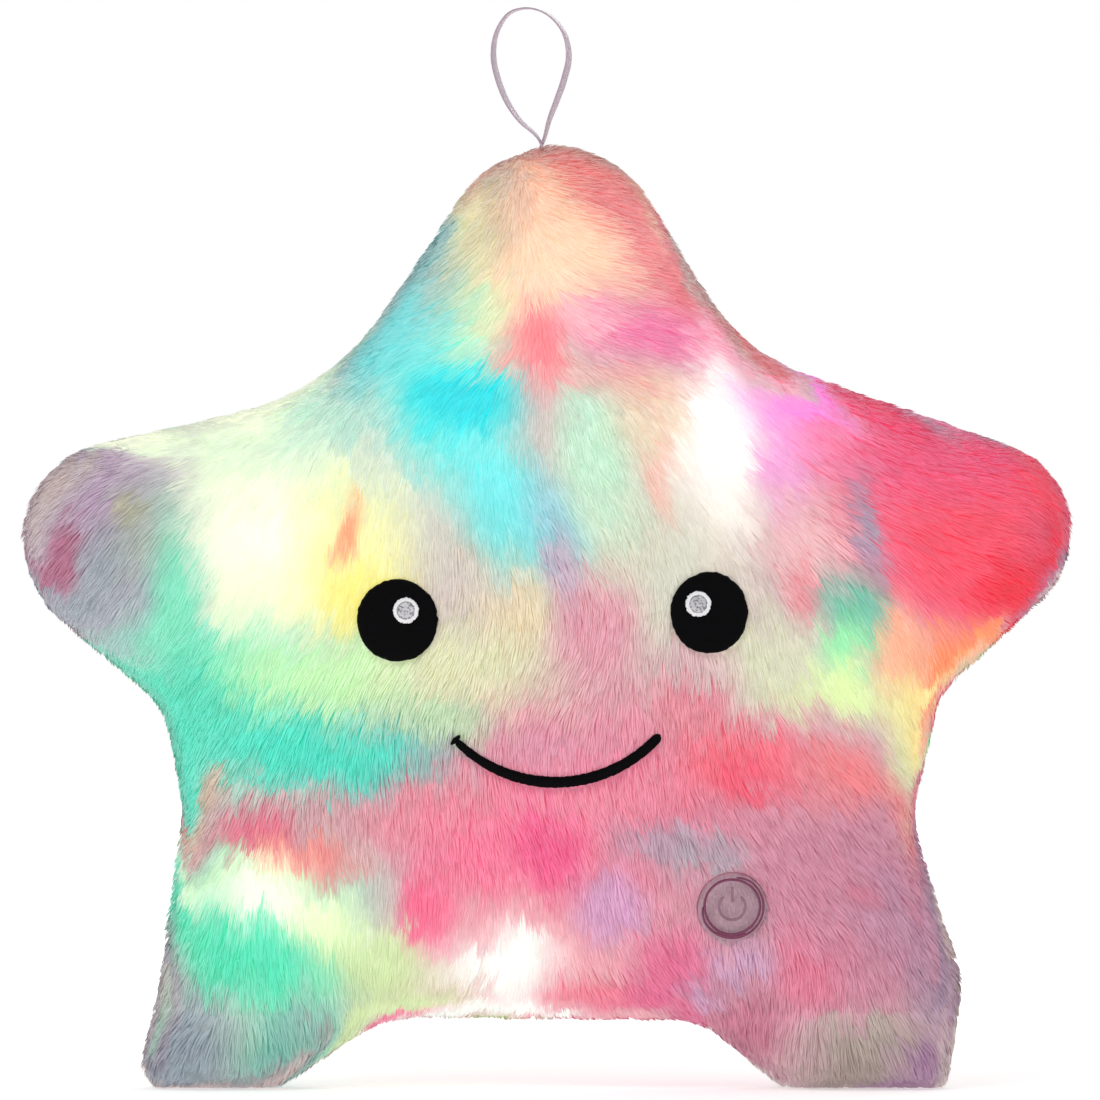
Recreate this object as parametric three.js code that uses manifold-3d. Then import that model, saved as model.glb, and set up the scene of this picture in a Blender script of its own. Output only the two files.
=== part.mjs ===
// A smiling star-shaped plush night light that stands on its two lower points.
// Millimetres, +Z up, the face looks along -Y. The origin is on the floor, below the middle of the star.
// Two fur covers meet in a seam round the star. Inside the stuffing are six lamps on leads, a push
// switch under a stitched patch, and a battery box in a pouch behind a zip on the back.
import * as THREE from 'three';
import { mergeVertices } from 'three/addons/utils/BufferGeometryUtils.js';
import Module from 'manifold-3d';

const wasm = await Module();
wasm.setup();

// Star body
const bodyWidth = 400;
const bodyHeight = 363;
const bodyDepth = 120;
const centreHeight = 171;
const standCut = 0.5;
const footZone = 35;
const coverThickness = 3;
const fit = 0.3;
const fillEase = 0.7;
const overrun = 5;

// Corners of the star before they are rounded, clockwise from the top point: the place across as a share
// of the width, the place up as a share of the height, and the rounding as a share of the width.
const cornerShares = [
  [0.009, 1.096, 0.105],
  [0.184, 0.783, 0.191],
  [0.584, 0.627, 0.092],
  [0.379, 0.4185, 0.057],
  [0.349, 0.282, 0.143],
  [0.401, 0.108, 0.105],
  [0.378, 0, 0.019],
  [0.231, 0, 0.057],
  [0.145, 0.0715, 0.076],
  [-0.156, 0.0747, 0.105],
  [-0.266, 0, 0.057],
  [-0.39, 0, 0.027],
  [-0.351, 0.294, 0.153],
  [-0.371, 0.403, 0.057],
  [-0.6225, 0.637, 0.1],
  [-0.208, 0.74, 0.248],
];
const outlineArcStep = THREE.MathUtils.degToRad(25);
const outlineLineShare = 0.085;
const fieldPoints = 720;

// Rings of each panel, from the seam at 1 to its middle at 0, and how full the swelling is.
const outerRingShares = [1, 0.995, 0.965, 0.9, 0.77, 0.56, 0.3, 0];
const innerRingShares = [1, 0.965, 0.84, 0.55, 0];
const crownShare = 1.2;
const footFullness = 1.6;
const frontCoreRadius = 14;

// Hanging loop of narrow ribbon
const loopAcross = -5;
const ribbonWidth = 9;
const ribbonThickness = 0.8;
const loopRise = 46;
const loopHalfWidth = 14.8;
const loopWidestShare = 0.72;
const loopRoundShares = { foot: 0.3, side: 0.32, shoulder: 0.2, top: 0.62 };
const rootThickness = 1;
const rootDepth = 9;
const loopClearance = 0.7;

// Stitched face
const eyeRadius = 15.4;
const leftEye = { across: -57.7, up: 178.6, glintAcross: 3.2, glintUp: 3.6 };
const rightEye = { across: 61.3, up: 181.5, glintAcross: -4.2, glintUp: 3.8 };
const eyeThickness = 1.6;
const glintRadius = 5;
const glintThickness = 0.8;
const smileHalfWidth = 38.8;
const smileSag = 16.5;
const smileAcross = 2.5;
const smileLow = 116.5;
const smileThread = 4.2;
const smileThickness = 1.2;
const smileTickLength = 9;
const smileTickThread = 2.9;

// Press switch under the patch on the lower right
const patchAcross = 69.6;
const patchUp = 70.3;
const patchRadius = 13.2;
const pressTravel = 3;
const ringRadius = 12.4;
const ringThread = 2;
const ringThickness = 1;
const markRadius = 5;
const markThread = 1.5;
const markBarLength = 6;
const markOpening = THREE.MathUtils.degToRad(80);
const capRadius = 11;
const capWall = 1.6;
const capFlangeReach = 1.6;
const capFlangeDepth = 1.2;
const patchEase = 0.6;
const caseSink = 2;
const caseRadius = 20;
const caseWall = 1.6;
const wireSpace = 4;
const boardThickness = 1.2;
const clickSwitchSize = 8.5;
const clickSwitchHeight = 7;
const clickStemRadius = 2;
const chipLength = 6;
const chipWidth = 4;
const chipHeight = 1.4;
const chipOffset = 13;
const glandRadius = 5.7;
const glandFlangeReach = 1.5;
const glandFlangeDepth = 2;

// Lamps and their leads
const lampRadius = 5;
const lampFlangeReach = 1;
const lampFlangeDepth = 1.2;
const lampBarrel = 6;
const lampBoardRadius = 7.5;
const lampBoardThickness = 1.6;
const lampDepth = 16;
const wireDiameter = 2.4;
const wireCircleRadius = 4.1;
const wireLayer = 4.5;
const firstLane = -12;
const wireStraight = 8;
// Each lamp's place as shares of the width and the height, the slot that its lead leaves the switch by as a
// share of a turn, and the layer that the lead runs in. The lead without a slot leaves by the middle.
const lampPlaceShares = [
  { name: 'bottom', across: -0.045, up: 0.137, slot: 1 / 6, layer: 1 },
  { name: 'upper_right', across: 0.155, up: 0.667, slot: 2 / 6, layer: 0 },
  { name: 'right_side', across: 0.275, up: 0.413, slot: 3 / 6, layer: 0 },
  { name: 'left_arm', across: -0.28, up: 0.584, slot: 0, layer: 1 },
  { name: 'left_foot', across: -0.2375, up: 0.204, slot: 5 / 6, layer: 0 },
  { name: 'upper_left', across: -0.07, up: 0.689, layer: 2 },
];
const batterySlotShare = 4 / 6;
const batteryLayer = 3;

// Zip on the back, and the pouch behind it
const zipUp = 140;
const padLevel = 55.9;
const padHalfLength = 62;
const padHalfHeight = 30;
const padBlendShare = 0.5;
const slotLength = 100;
const slotHeight = 12;
const tapeWidth = 12;
const tapeThickness = 0.8;
const chainGap = 0.9;
const chainHalfWidth = 3;
const toothPitch = 4;
const toothLength = 2.6;
const toothHead = 1.6;
const toothRise = 1;
const stopLength = 3;
const sliderLength = 11;
const sliderHalfWidth = 5;
const sliderPlate = 1.2;
const sliderNeck = 0.5;
const bridgeLength = 9;
const bridgeRise = 4.8;
const bridgeBar = 1.4;
const bridgeWidth = 2;
const pullLength = 24;
const pullWidth = 7;
const pullThickness = 1.2;
const pullBar = 1.4;
const pullAboveCover = 0.4;
const pouchWall = 1;
const pouchDepth = 24;
const pouchEase = 1;

// Battery box for three AA cells
const cellDiameter = 14.3;
const cellLength = 49.2;
const cellNippleRadius = 2.7;
const cellNippleLength = 1.2;
const cellPitch = 15.2;
const trayWall = 1.4;
const trayLeft = -47;
const lidThickness = 1.6;
const contactThickness = 0.5;
const contactSpringLength = 2.2;
const contactSpringRadius = 3.2;
const earLength = 7;
const earHalfWidth = 4;
const screwHeadRadius = 2.6;
const screwHeadHeight = 1.4;
const screwShankRadius = 1.2;
const screwLength = 9;

const roundSides = 28;
const smallSides = 12;
const slotEndSides = 6;
const domeSteps = 3;
const wireSides = 6;
const leadSteps = 14;
const batteryLeadSteps = 20;
const seamHalf = fit / 2;

// Mesh helpers

/** Merges equal corners, drops faces without area and turns the faces outwards. */
function closed(geometry) {
  const plain = geometry.clone();
  plain.deleteAttribute('normal');
  plain.deleteAttribute('uv');
  const merged = mergeVertices(plain);
  const index = [];
  for (let i = 0; i < merged.index.count; i += 3) {
    const [a, b, c] = [0, 1, 2].map((k) => merged.index.getX(i + k));
    if (a !== b && b !== c && c !== a) index.push(a, b, c);
  }
  const position = merged.getAttribute('position');
  const corner = (k) => new THREE.Vector3().fromBufferAttribute(position, index[k]);
  let volume = 0;
  for (let i = 0; i < index.length; i += 3) volume += corner(i).dot(corner(i + 1).cross(corner(i + 2)));
  if (volume < 0) index.reverse();
  const result = new THREE.BufferGeometry();
  result.setAttribute('position', position);
  result.setIndex(index);
  return result;
}

/** The solid that a closed geometry bounds, for joining and cutting. */
function solid(geometry) {
  const shape = closed(geometry);
  const vertProperties = new Float32Array(shape.getAttribute('position').array);
  const triVerts = new Uint32Array(shape.index.array);
  return new wasm.Manifold(new wasm.Mesh({ numProp: 3, vertProperties, triVerts }));
}

/** The geometry of a solid. */
function geometryOf(body) {
  const mesh = body.getMesh();
  const result = new THREE.BufferGeometry();
  result.setAttribute('position', new THREE.BufferAttribute(new Float32Array(mesh.vertProperties), 3));
  result.setIndex(Array.from(mesh.triVerts));
  return result;
}

/** A shape drawn across (x) and up (z), made solid from one depth (y) to another. */
function alongDepth(shape, from, to, curveSegments = smallSides) {
  const options = { depth: to - from, bevelEnabled: false, curveSegments };
  return new THREE.ExtrudeGeometry(shape, options).rotateX(Math.PI / 2).translate(0, to, 0);
}

/** A block between two opposite corners. */
function block(low, high) {
  const size = new THREE.Vector3().subVectors(high, low);
  const middle = new THREE.Vector3().addVectors(low, high).divideScalar(2);
  return new THREE.BoxGeometry(size.x, size.y, size.z).translate(middle.x, middle.y, middle.z);
}

/** A turned piece: its profile lists radius and height along the y axis, from axis to axis. */
function turned(profile, sides = roundSides) {
  const points = profile.map(([radius, height]) => new THREE.Vector2(radius, height));
  return new THREE.LatheGeometry(points, sides);
}

/** A plain disc or cylinder along the y axis between two heights. */
function drum(radius, low, high, sides = roundSides) {
  return turned([[0, low], [radius, low], [radius, high], [0, high]], sides);
}

/** A round wire along a curve, with square ends. */
function wireAlong(curve, radius, steps) {
  const section = new THREE.Shape();
  for (let i = 0; i < wireSides; i += 1) {
    const turn = (2 * Math.PI * i) / wireSides;
    if (i === 0) section.moveTo(radius * Math.cos(turn), radius * Math.sin(turn));
    else section.lineTo(radius * Math.cos(turn), radius * Math.sin(turn));
  }
  section.closePath();
  return new THREE.ExtrudeGeometry(section, { steps, extrudePath: curve, bevelEnabled: false });
}

function circleShape(across, up, radius) {
  return new THREE.Shape().absarc(across, up, radius, 0, 2 * Math.PI);
}

/** A band along an arc with square ends, drawn across and up. */
function arcBand(across, up, radius, thread, start, end) {
  const shape = new THREE.Shape();
  shape.absarc(across, up, radius + thread / 2, start, end, false);
  shape.absarc(across, up, radius - thread / 2, end, start, true);
  shape.closePath();
  return shape;
}

function barShape(lowX, highX, lowZ, highZ) {
  return new THREE.Shape([
    new THREE.Vector2(lowX, lowZ),
    new THREE.Vector2(highX, lowZ),
    new THREE.Vector2(highX, highZ),
    new THREE.Vector2(lowX, highZ),
  ]);
}

// Star outline: straight sides between corners that are rounded inwards or outwards.

function starPath() {
  const corners = cornerShares.map(([across, up, rounding]) => ({
    place: new THREE.Vector2(across * bodyWidth, up * bodyHeight - standCut),
    radius: rounding * bodyWidth,
  }));
  const path = new THREE.Path();
  corners.forEach(({ place, radius }, i) => {
    const before = corners.at(i - 1).place.clone().sub(place).normalize();
    const after = corners[(i + 1) % corners.length].place.clone().sub(place).normalize();
    const half = Math.acos(before.dot(after)) / 2;
    const towards = before.clone().add(after).normalize();
    const middle = place.clone().addScaledVector(towards, radius / Math.sin(half));
    const reach = radius / Math.tan(half);
    const first = place.clone().addScaledVector(before, reach).sub(middle);
    const last = place.clone().addScaledVector(after, reach).sub(middle);
    const clockwise = before.cross(after) > 0;
    path.absarc(middle.x, middle.y, radius, first.angle(), last.angle(), clockwise);
  });
  path.closePath();
  return path;
}

/** Corners of the faceted outline: close together on the round stretches, wide apart on straight ones. */
function outlinePoints(path) {
  const points = [];
  for (const curve of path.curves) {
    let steps = Math.ceil(curve.getLength() / (outlineLineShare * bodyWidth));
    if (curve.isEllipseCurve) steps = Math.ceil(curve.getLength() / curve.xRadius / outlineArcStep);
    for (let i = 0; i < steps; i += 1) points.push(curve.getPoint(i / steps));
  }
  return points;
}

const outlinePath = starPath();
const outline = outlinePoints(outlinePath);
const field = outlinePath.getSpacedPoints(fieldPoints).slice(0, fieldPoints);
const fieldStep = outlinePath.getLength() / fieldPoints;
const centre = new THREE.Vector2(0, centreHeight);

/** The faceted outline moved inwards by an even distance. */
function insetOutline(distance) {
  return outline.map((point, i) => {
    const before = outline.at(i - 1);
    const after = outline[(i + 1) % outline.length];
    const along = after.clone().sub(before).normalize();
    return new THREE.Vector2(point.x + along.y * distance, point.y - along.x * distance);
  });
}

/** A smooth measure of how far inside the seam a place lies: it rounds off the ridges of the arms. */
function softDepth(across, up) {
  const sum = field.reduce((total, point) => {
    const square = (point.x - across) ** 2 + (point.y - up) ** 2;
    return total + fieldStep / square ** 2;
  }, 0);
  return Math.cbrt(Math.PI / 2 / sum);
}

const fullDepth = softDepth(centre.x, centre.y);

/** Half the body's thickness at a place, for a surface that lies under the outer one by an inset. */
function swell(across, up, inset) {
  const blunt = 1 + footFullness * (1 - THREE.MathUtils.smoothstep(up, 0, footZone));
  const depth = Math.max(softDepth(across, up) * blunt - inset, 0);
  const share = Math.min(depth / (fullDepth - inset), 1);
  return (bodyDepth / 2 - inset) * Math.sqrt(share * (crownShare - (crownShare - 1) * share));
}

// Each panel is lofted from the seam to a core: a small circle in front, the flat zip pad at the back.
const front = {
  side: -1,
  middle: centre,
  core(direction) {
    return centre.clone().addScaledVector(direction, frontCoreRadius);
  },
  height: (across, up, inset) => swell(across, up, inset),
};
const back = {
  side: 1,
  middle: new THREE.Vector2(0, zipUp),
  core(direction) {
    const reach = (direction.x / padHalfLength) ** 4 + (direction.y / padHalfHeight) ** 4;
    return this.middle.clone().addScaledVector(direction, reach ** -0.25);
  },
  height(across, up, inset, share) {
    const blend = THREE.MathUtils.smoothstep(share, 0, padBlendShare);
    return THREE.MathUtils.lerp(padLevel - inset, swell(across, up, inset), blend);
  },
};

/**
 * The rings of a panel's surface under the outer one by an inset, and its middle. A lift raises the whole
 * surface, and an ease draws it in, seam and all, so that it clears a surface with the same inset.
 */
function panelRings(panel, inset, ringShares, { lift = 0, ease = 0 } = {}) {
  const place = (across, up, share) => {
    const height = share === 1 ? 0 : panel.height(across, up, inset, share) - ease;
    return new THREE.Vector3(across, panel.side * (seamHalf + height + lift), up);
  };
  const rings = ringShares.map((share) => insetOutline(share === 1 ? inset + ease : inset).map((edge) => {
    const core = panel.core(edge.clone().sub(panel.middle).normalize());
    const point = core.lerp(edge, share);
    return place(point.x, point.y, share);
  }));
  return { side: panel.side, rings, middle: place(panel.middle.x, panel.middle.y, 0) };
}

/** Collects corners and faces of rings into one geometry. */
class Patchwork {
  corners = [];

  faces = [];

  add(points) {
    const first = this.corners.length;
    this.corners.push(...points);
    return points.map((_, i) => first + i);
  }

  /** Faces between two rings of corners; flip turns them over. */
  band(outer, inner, flip) {
    outer.forEach((a, i) => {
      const next = (i + 1) % outer.length;
      const [b, c, d] = [outer[next], inner[next], inner[i]];
      this.faces.push(...(flip ? [a, c, d, a, b, c] : [a, d, c, a, c, b]));
    });
  }

  /** Faces from a ring of corners to one in its middle. */
  fan(ring, middle, flip) {
    ring.forEach((a, i) => {
      const b = ring[(i + 1) % ring.length];
      this.faces.push(...(flip ? [a, b, middle] : [a, middle, b]));
    });
  }

  /** A whole panel surface. Returns the corners on its seam. */
  surface(panel, flip) {
    const rings = panel.rings.map((ring) => this.add(ring));
    const [middle] = this.add([panel.middle]);
    rings.slice(1).forEach((ring, i) => this.band(rings[i], ring, flip));
    this.fan(rings.at(-1), middle, flip);
    return rings[0];
  }

  geometry() {
    const result = new THREE.BufferGeometry().setFromPoints(this.corners);
    return result.setIndex(this.faces);
  }
}

/** A cover: its outer skin, its inner skin and the seam edge between them. */
function coverShell(panel) {
  const work = new Patchwork();
  const flip = panel.side > 0;
  const outer = work.surface(panelRings(panel, 0, outerRingShares), flip);
  const inner = work.surface(panelRings(panel, coverThickness, innerRingShares), !flip);
  work.band(inner, outer, flip);
  return work.geometry();
}

/** Everything between the seam plane and a panel's outer skin, lifted off it by a distance. */
function panelBulk(panel, lift) {
  const work = new Patchwork();
  const flip = panel.side > 0;
  const skin = panelRings(panel, 0, outerRingShares, { lift });
  const edge = work.surface(skin, flip);
  const foot = work.add(skin.rings[0].map((corner) => new THREE.Vector3(corner.x, 0, corner.z)));
  const [middle] = work.add([new THREE.Vector3(panel.middle.x, 0, panel.middle.y)]);
  work.band(foot, edge, flip);
  work.fan(foot, middle, !flip);
  return solid(work.geometry());
}

/** A thin layer that lies on a panel's outer skin, above it by a distance. */
function layerOn(panel, above, thickness) {
  return panelBulk(panel, above + thickness).subtract(panelBulk(panel, above));
}

/** The cutter that presses the feet flat. */
function floorCutter() {
  const reach = bodyWidth + bodyDepth;
  return solid(block(new THREE.Vector3(-reach, -reach, -reach), new THREE.Vector3(reach, reach, 0)));
}

/** The cutter for the slot that holds the sewn-in ends of the ribbon. */
function rootSlotCutter() {
  const reach = rootThickness / 2 + fit;
  return solid(block(
    new THREE.Vector3(loopAcross - reach, -ribbonWidth / 2 - fit, topSeam - rootDepth - fit),
    new THREE.Vector3(loopAcross + reach, ribbonWidth / 2 + fit, topSeam + overrun),
  ));
}

// Materials
function finish(color, roughness, metalness = 0) {
  return new THREE.MeshStandardMaterial({ color, roughness, metalness });
}

const group = new THREE.Group();

function addPiece(name, geometry, material, parent = group) {
  const mesh = new THREE.Mesh(closed(geometry), material);
  mesh.name = name;
  parent.add(mesh);
  return mesh;
}

// Places that several sub-assemblies share

/** A frame on the front cover whose y axis points straight out of it. */
function frontFrame(across, up) {
  const nudge = bodyWidth / fieldPoints;
  const height = swell(across, up, 0);
  const slopeX = (swell(across + nudge, up, 0) - height) / nudge;
  const slopeZ = (swell(across, up + nudge, 0) - height) / nudge;
  const outwards = new THREE.Vector3(-slopeX, -1, -slopeZ).normalize();
  const sideways = new THREE.Vector3().crossVectors(outwards, new THREE.Vector3(0, 0, 1)).normalize();
  const upwards = new THREE.Vector3().crossVectors(sideways, outwards);
  const matrix = new THREE.Matrix4().makeBasis(sideways, outwards, upwards);
  const turn = new THREE.Quaternion().setFromRotationMatrix(matrix);
  const place = new THREE.Vector3(across, -seamHalf - height, up);
  return { place, turn, matrix: matrix.setPosition(place) };
}

const patchFrame = frontFrame(patchAcross, patchUp);
const topSeam = Math.max(...outline.map((point) => point.y));
const loopPivot = topSeam + ribbonWidth / 2 + loopClearance;

// Push switch, in the patch's own frame: heights are negative inwards.
const capTop = -coverThickness - fit - patchEase;
const caseTop = capTop - pressTravel - caseSink;
const caseCeiling = caseTop - caseWall;
const capFlangeTop = caseCeiling - fit;
const clickSwitchTop = capTop - capWall - pressTravel - fit;
const capFlangePressed = capFlangeTop - capFlangeDepth - pressTravel;
const boardRoom = Math.min(clickSwitchTop - clickSwitchHeight, capFlangePressed - chipHeight - fit);
const boardTop = boardRoom - 2 * fit;
const boardLow = boardTop - boardThickness;
const backPlateTop = boardLow - fit - wireSpace;
const backPlateLow = backPlateTop - caseWall;
const glandLow = backPlateLow - fit - glandFlangeDepth;

// Zip and pouch levels, from the back cover inwards
const coverInside = padLevel + seamHalf - coverThickness;
const tapeOutside = coverInside - fit;
const tapeInside = tapeOutside - tapeThickness;
const toothTop = tapeOutside + toothRise;
const toothLow = tapeInside - toothRise;
const sliderTop = toothTop + fit + sliderPlate;
const sliderLow = toothLow - fit - sliderPlate;
const pouchTop = tapeInside - fit;
const pouchLow = pouchTop - pouchDepth;
const pouchHalfLength = slotLength / 2 + pouchEase;
const contactRoom = contactSpringLength + 2 * contactThickness;
const trayInsideLength = cellLength + cellNippleLength + contactRoom + 4 * fit;
const trayLength = trayInsideLength + 2 * trayWall;
const trayRight = trayLeft + trayLength;
const trayHalfHeight = cellPitch + cellDiameter / 2 + fit + trayWall;
const trayLow = pouchLow + pouchWall + fit;
const cellMiddle = trayLow + trayWall + fit + cellDiameter / 2;
const trayTop = cellMiddle + cellDiameter / 2 + fit;
const pouchHalfHeight = trayHalfHeight + fit + pouchWall;
const leadLevel = cellMiddle;
const leadUp = zipUp - cellPitch;

const lamps = lampPlaceShares.map(({ name, across, up, slot, layer }) => (
  { name, across: across * bodyWidth, up: up * bodyHeight, slotShare: slot, layer }
));
const lampLength = lampRadius + lampBarrel + lampFlangeDepth + fit + lampBoardThickness;

/** A place beside the switch's axis, in the star's frame: a slot of the gland, at a height on that axis. */
function besideAxis(slotShare, height) {
  const place = new THREE.Vector3(0, height, 0);
  if (slotShare !== undefined) {
    const turn = 2 * Math.PI * slotShare;
    place.x = wireCircleRadius * Math.cos(turn);
    place.z = wireCircleRadius * Math.sin(turn);
  }
  return place.applyMatrix4(patchFrame.matrix);
}

/** The lead from the switch to the battery box, through the pouch's side. */
function batteryLeadCurve() {
  const start = glandLow - fit;
  const pouchSide = pouchHalfLength + wireStraight;
  return new THREE.CatmullRomCurve3([
    besideAxis(batterySlotShare, start),
    besideAxis(batterySlotShare, start - batteryLayer * wireLayer),
    new THREE.Vector3(pouchSide + wireStraight, leadLevel - wireStraight, (leadUp + patchUp) / 2),
    new THREE.Vector3(pouchSide, leadLevel, leadUp),
    new THREE.Vector3(pouchHalfLength, leadLevel, leadUp),
    new THREE.Vector3(trayRight + earLength, leadLevel, leadUp),
    new THREE.Vector3(trayRight + fit, leadLevel, leadUp),
  ]);
}

/** Depth of the back of a lamp's little board. */
function lampBack(lamp) {
  return lampLength + lampDepth - seamHalf - swell(lamp.across, lamp.up, 0);
}

/** The lead of one lamp: out of the switch's gland, across in its own layer, and to the lamp's back. */
function lampLeadCurve(lamp) {
  const start = glandLow - fit;
  const end = new THREE.Vector3(lamp.across, lampBack(lamp) + fit, lamp.up);
  const lane = Math.max(firstLane + lamp.layer * wireLayer, end.y + wireStraight);
  const leave = besideAxis(lamp.slotShare, start - (lamp.layer + 1) * wireLayer);
  const cross = leave.clone().lerp(end, 1 / 2).setY(lane);
  const arrive = new THREE.Vector3(end.x, end.y + wireStraight / 2, end.z);
  const points = [besideAxis(lamp.slotShare, start), leave, cross, arrive, end];
  return new THREE.CatmullRomCurve3(points, false, 'centripetal');
}

function buildCovers() {
  const fur = finish('#e58aa6', 0.95);
  const floor = floorCutter();
  const holeCutter = solid(drum(patchRadius, -bodyDepth / 2, overrun).applyMatrix4(patchFrame.matrix));
  const patchCutter = solid(drum(patchRadius - fit, -bodyDepth / 4, overrun).applyMatrix4(patchFrame.matrix));
  const rootSlot = rootSlotCutter();
  const zipSlot = new THREE.Shape();
  const slotEnd = (slotLength - slotHeight) / 2;
  zipSlot.absarc(slotEnd, zipUp, slotHeight / 2, -Math.PI / 2, Math.PI / 2, false);
  zipSlot.absarc(-slotEnd, zipUp, slotHeight / 2, Math.PI / 2, (3 * Math.PI) / 2, false);
  const zipPrism = alongDepth(zipSlot, padLevel - 2 * coverThickness, padLevel + overrun, slotEndSides);
  const zipCutter = solid(zipPrism);

  const frontShell = solid(coverShell(front)).subtract(floor).subtract(rootSlot);
  const backShell = solid(coverShell(back)).subtract(floor).subtract(rootSlot).subtract(zipCutter);
  addPiece('front_cover', geometryOf(frontShell.subtract(holeCutter)), fur);
  addPiece('back_cover', geometryOf(backShell), fur);
  const capRoom = solid(drum(patchRadius, -bodyDepth / 2, capTop + fit).applyMatrix4(patchFrame.matrix));
  addPiece('press_patch', geometryOf(frontShell.intersect(patchCutter).subtract(capRoom)), fur);
}

function buildFill() {
  const ease = { ease: fillEase };
  const work = new Patchwork();
  const frontEdge = work.surface(panelRings(front, coverThickness, innerRingShares, ease), false);
  const backEdge = work.surface(panelRings(back, coverThickness, innerRingShares, ease), true);
  work.band(backEdge, frontEdge, false);
  let fill = solid(work.geometry());

  const switchPocket = turned([
    [0, glandLow - fillEase],
    [caseRadius + fillEase, glandLow - fillEase],
    [caseRadius + fillEase, caseTop + fillEase],
    [patchRadius + fillEase, caseTop + fillEase],
    [patchRadius + fillEase, overrun],
    [0, overrun],
  ]);
  fill = fill.subtract(solid(switchPocket.applyMatrix4(patchFrame.matrix)));
  fill = fill.subtract(rootSlotCutter());
  const tapeReach = chainGap + tapeWidth + fillEase;
  fill = fill.subtract(solid(block(
    new THREE.Vector3(-pouchHalfLength - fillEase, tapeInside - fillEase, zipUp - tapeReach),
    new THREE.Vector3(pouchHalfLength + fillEase, padLevel + overrun, zipUp + tapeReach),
  )));
  fill = fill.subtract(solid(block(
    new THREE.Vector3(-pouchHalfLength - fillEase, pouchLow - fillEase, zipUp - pouchHalfHeight - fillEase),
    new THREE.Vector3(pouchHalfLength + fillEase, padLevel + overrun, zipUp + pouchHalfHeight + fillEase),
  )));
  const channelRadius = wireDiameter / 2 + fillEase;
  for (const lamp of lamps) {
    const behind = lampBack(lamp) + fillEase;
    const ahead = lampBack(lamp) - lampLength - 2 * fillEase;
    const pocket = drum(lampBoardRadius + fillEase, ahead, behind, smallSides);
    fill = fill.subtract(solid(pocket.translate(lamp.across, 0, lamp.up)));
    fill = fill.subtract(solid(wireAlong(lampLeadCurve(lamp), channelRadius, leadSteps)));
  }
  fill = fill.subtract(solid(wireAlong(batteryLeadCurve(), channelRadius, batteryLeadSteps)));
  addPiece('fibre_fill', geometryOf(fill), finish('#f4f2ee', 1));
}

/** A round-ended ribbon end about the loop's pivot, between two planes across. */
function ribbonEnd(lowX, highX, lowZ) {
  const tab = block(
    new THREE.Vector3(lowX, -ribbonWidth / 2, lowZ),
    new THREE.Vector3(highX, ribbonWidth / 2, loopPivot),
  );
  const round = drum(ribbonWidth / 2, lowX, highX).rotateZ(-Math.PI / 2).translate(0, 0, loopPivot);
  return { tab, round };
}

function buildLoop() {
  const satin = finish('#8d7f95', 0.45);
  const rootHalf = rootThickness / 2;
  const root = ribbonEnd(loopAcross - rootHalf, loopAcross + rootHalf, topSeam - rootDepth);
  addPiece('loop_root', geometryOf(solid(root.tab).add(solid(root.round))), satin);

  const legAcross = rootHalf + fit + ribbonThickness / 2;
  const low = loopPivot - ribbonWidth / 2 - overrun;
  const loopTop = loopPivot + loopRise;
  const straight = loopPivot + ribbonWidth / 2 + loopClearance;
  const widest = loopPivot + loopRise * loopWidestShare;
  const { foot, side, shoulder, top } = loopRoundShares;
  const path = new THREE.Path().moveTo(-legAcross, low).lineTo(-legAcross, straight);
  path.bezierCurveTo(
    -legAcross, straight + foot * loopRise,
    -loopHalfWidth, widest - side * loopRise,
    -loopHalfWidth, widest,
  );
  path.bezierCurveTo(
    -loopHalfWidth, widest + shoulder * loopRise,
    -top * loopHalfWidth, loopTop,
    0, loopTop,
  );
  path.bezierCurveTo(
    top * loopHalfWidth, loopTop,
    loopHalfWidth, widest + shoulder * loopRise,
    loopHalfWidth, widest,
  );
  path.bezierCurveTo(
    loopHalfWidth, widest - side * loopRise,
    legAcross, straight + foot * loopRise,
    legAcross, straight,
  );
  path.lineTo(legAcross, low);
  const edge = (distance) => Array.from({ length: roundSides + 1 }, (_, i) => {
    const place = path.getPointAt(i / roundSides);
    const along = path.getTangentAt(i / roundSides);
    return new THREE.Vector2(place.x - along.y * distance, place.y + along.x * distance);
  });
  const ribbon = new THREE.Shape([...edge(ribbonThickness / 2), ...edge(-ribbonThickness / 2).reverse()]);
  const band = alongDepth(ribbon, -ribbonWidth / 2, ribbonWidth / 2);
  const reach = loopHalfWidth * 2;
  const above = block(
    new THREE.Vector3(-reach, -ribbonWidth, loopPivot),
    new THREE.Vector3(reach, ribbonWidth, loopTop + overrun),
  );
  const round = drum(ribbonWidth / 2, -reach, reach).rotateZ(-Math.PI / 2).translate(0, 0, loopPivot);
  const loop = solid(band).intersect(solid(above).add(solid(round)));
  addPiece('hang_loop', geometryOf(loop).translate(loopAcross, 0, 0), satin);
}

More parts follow.
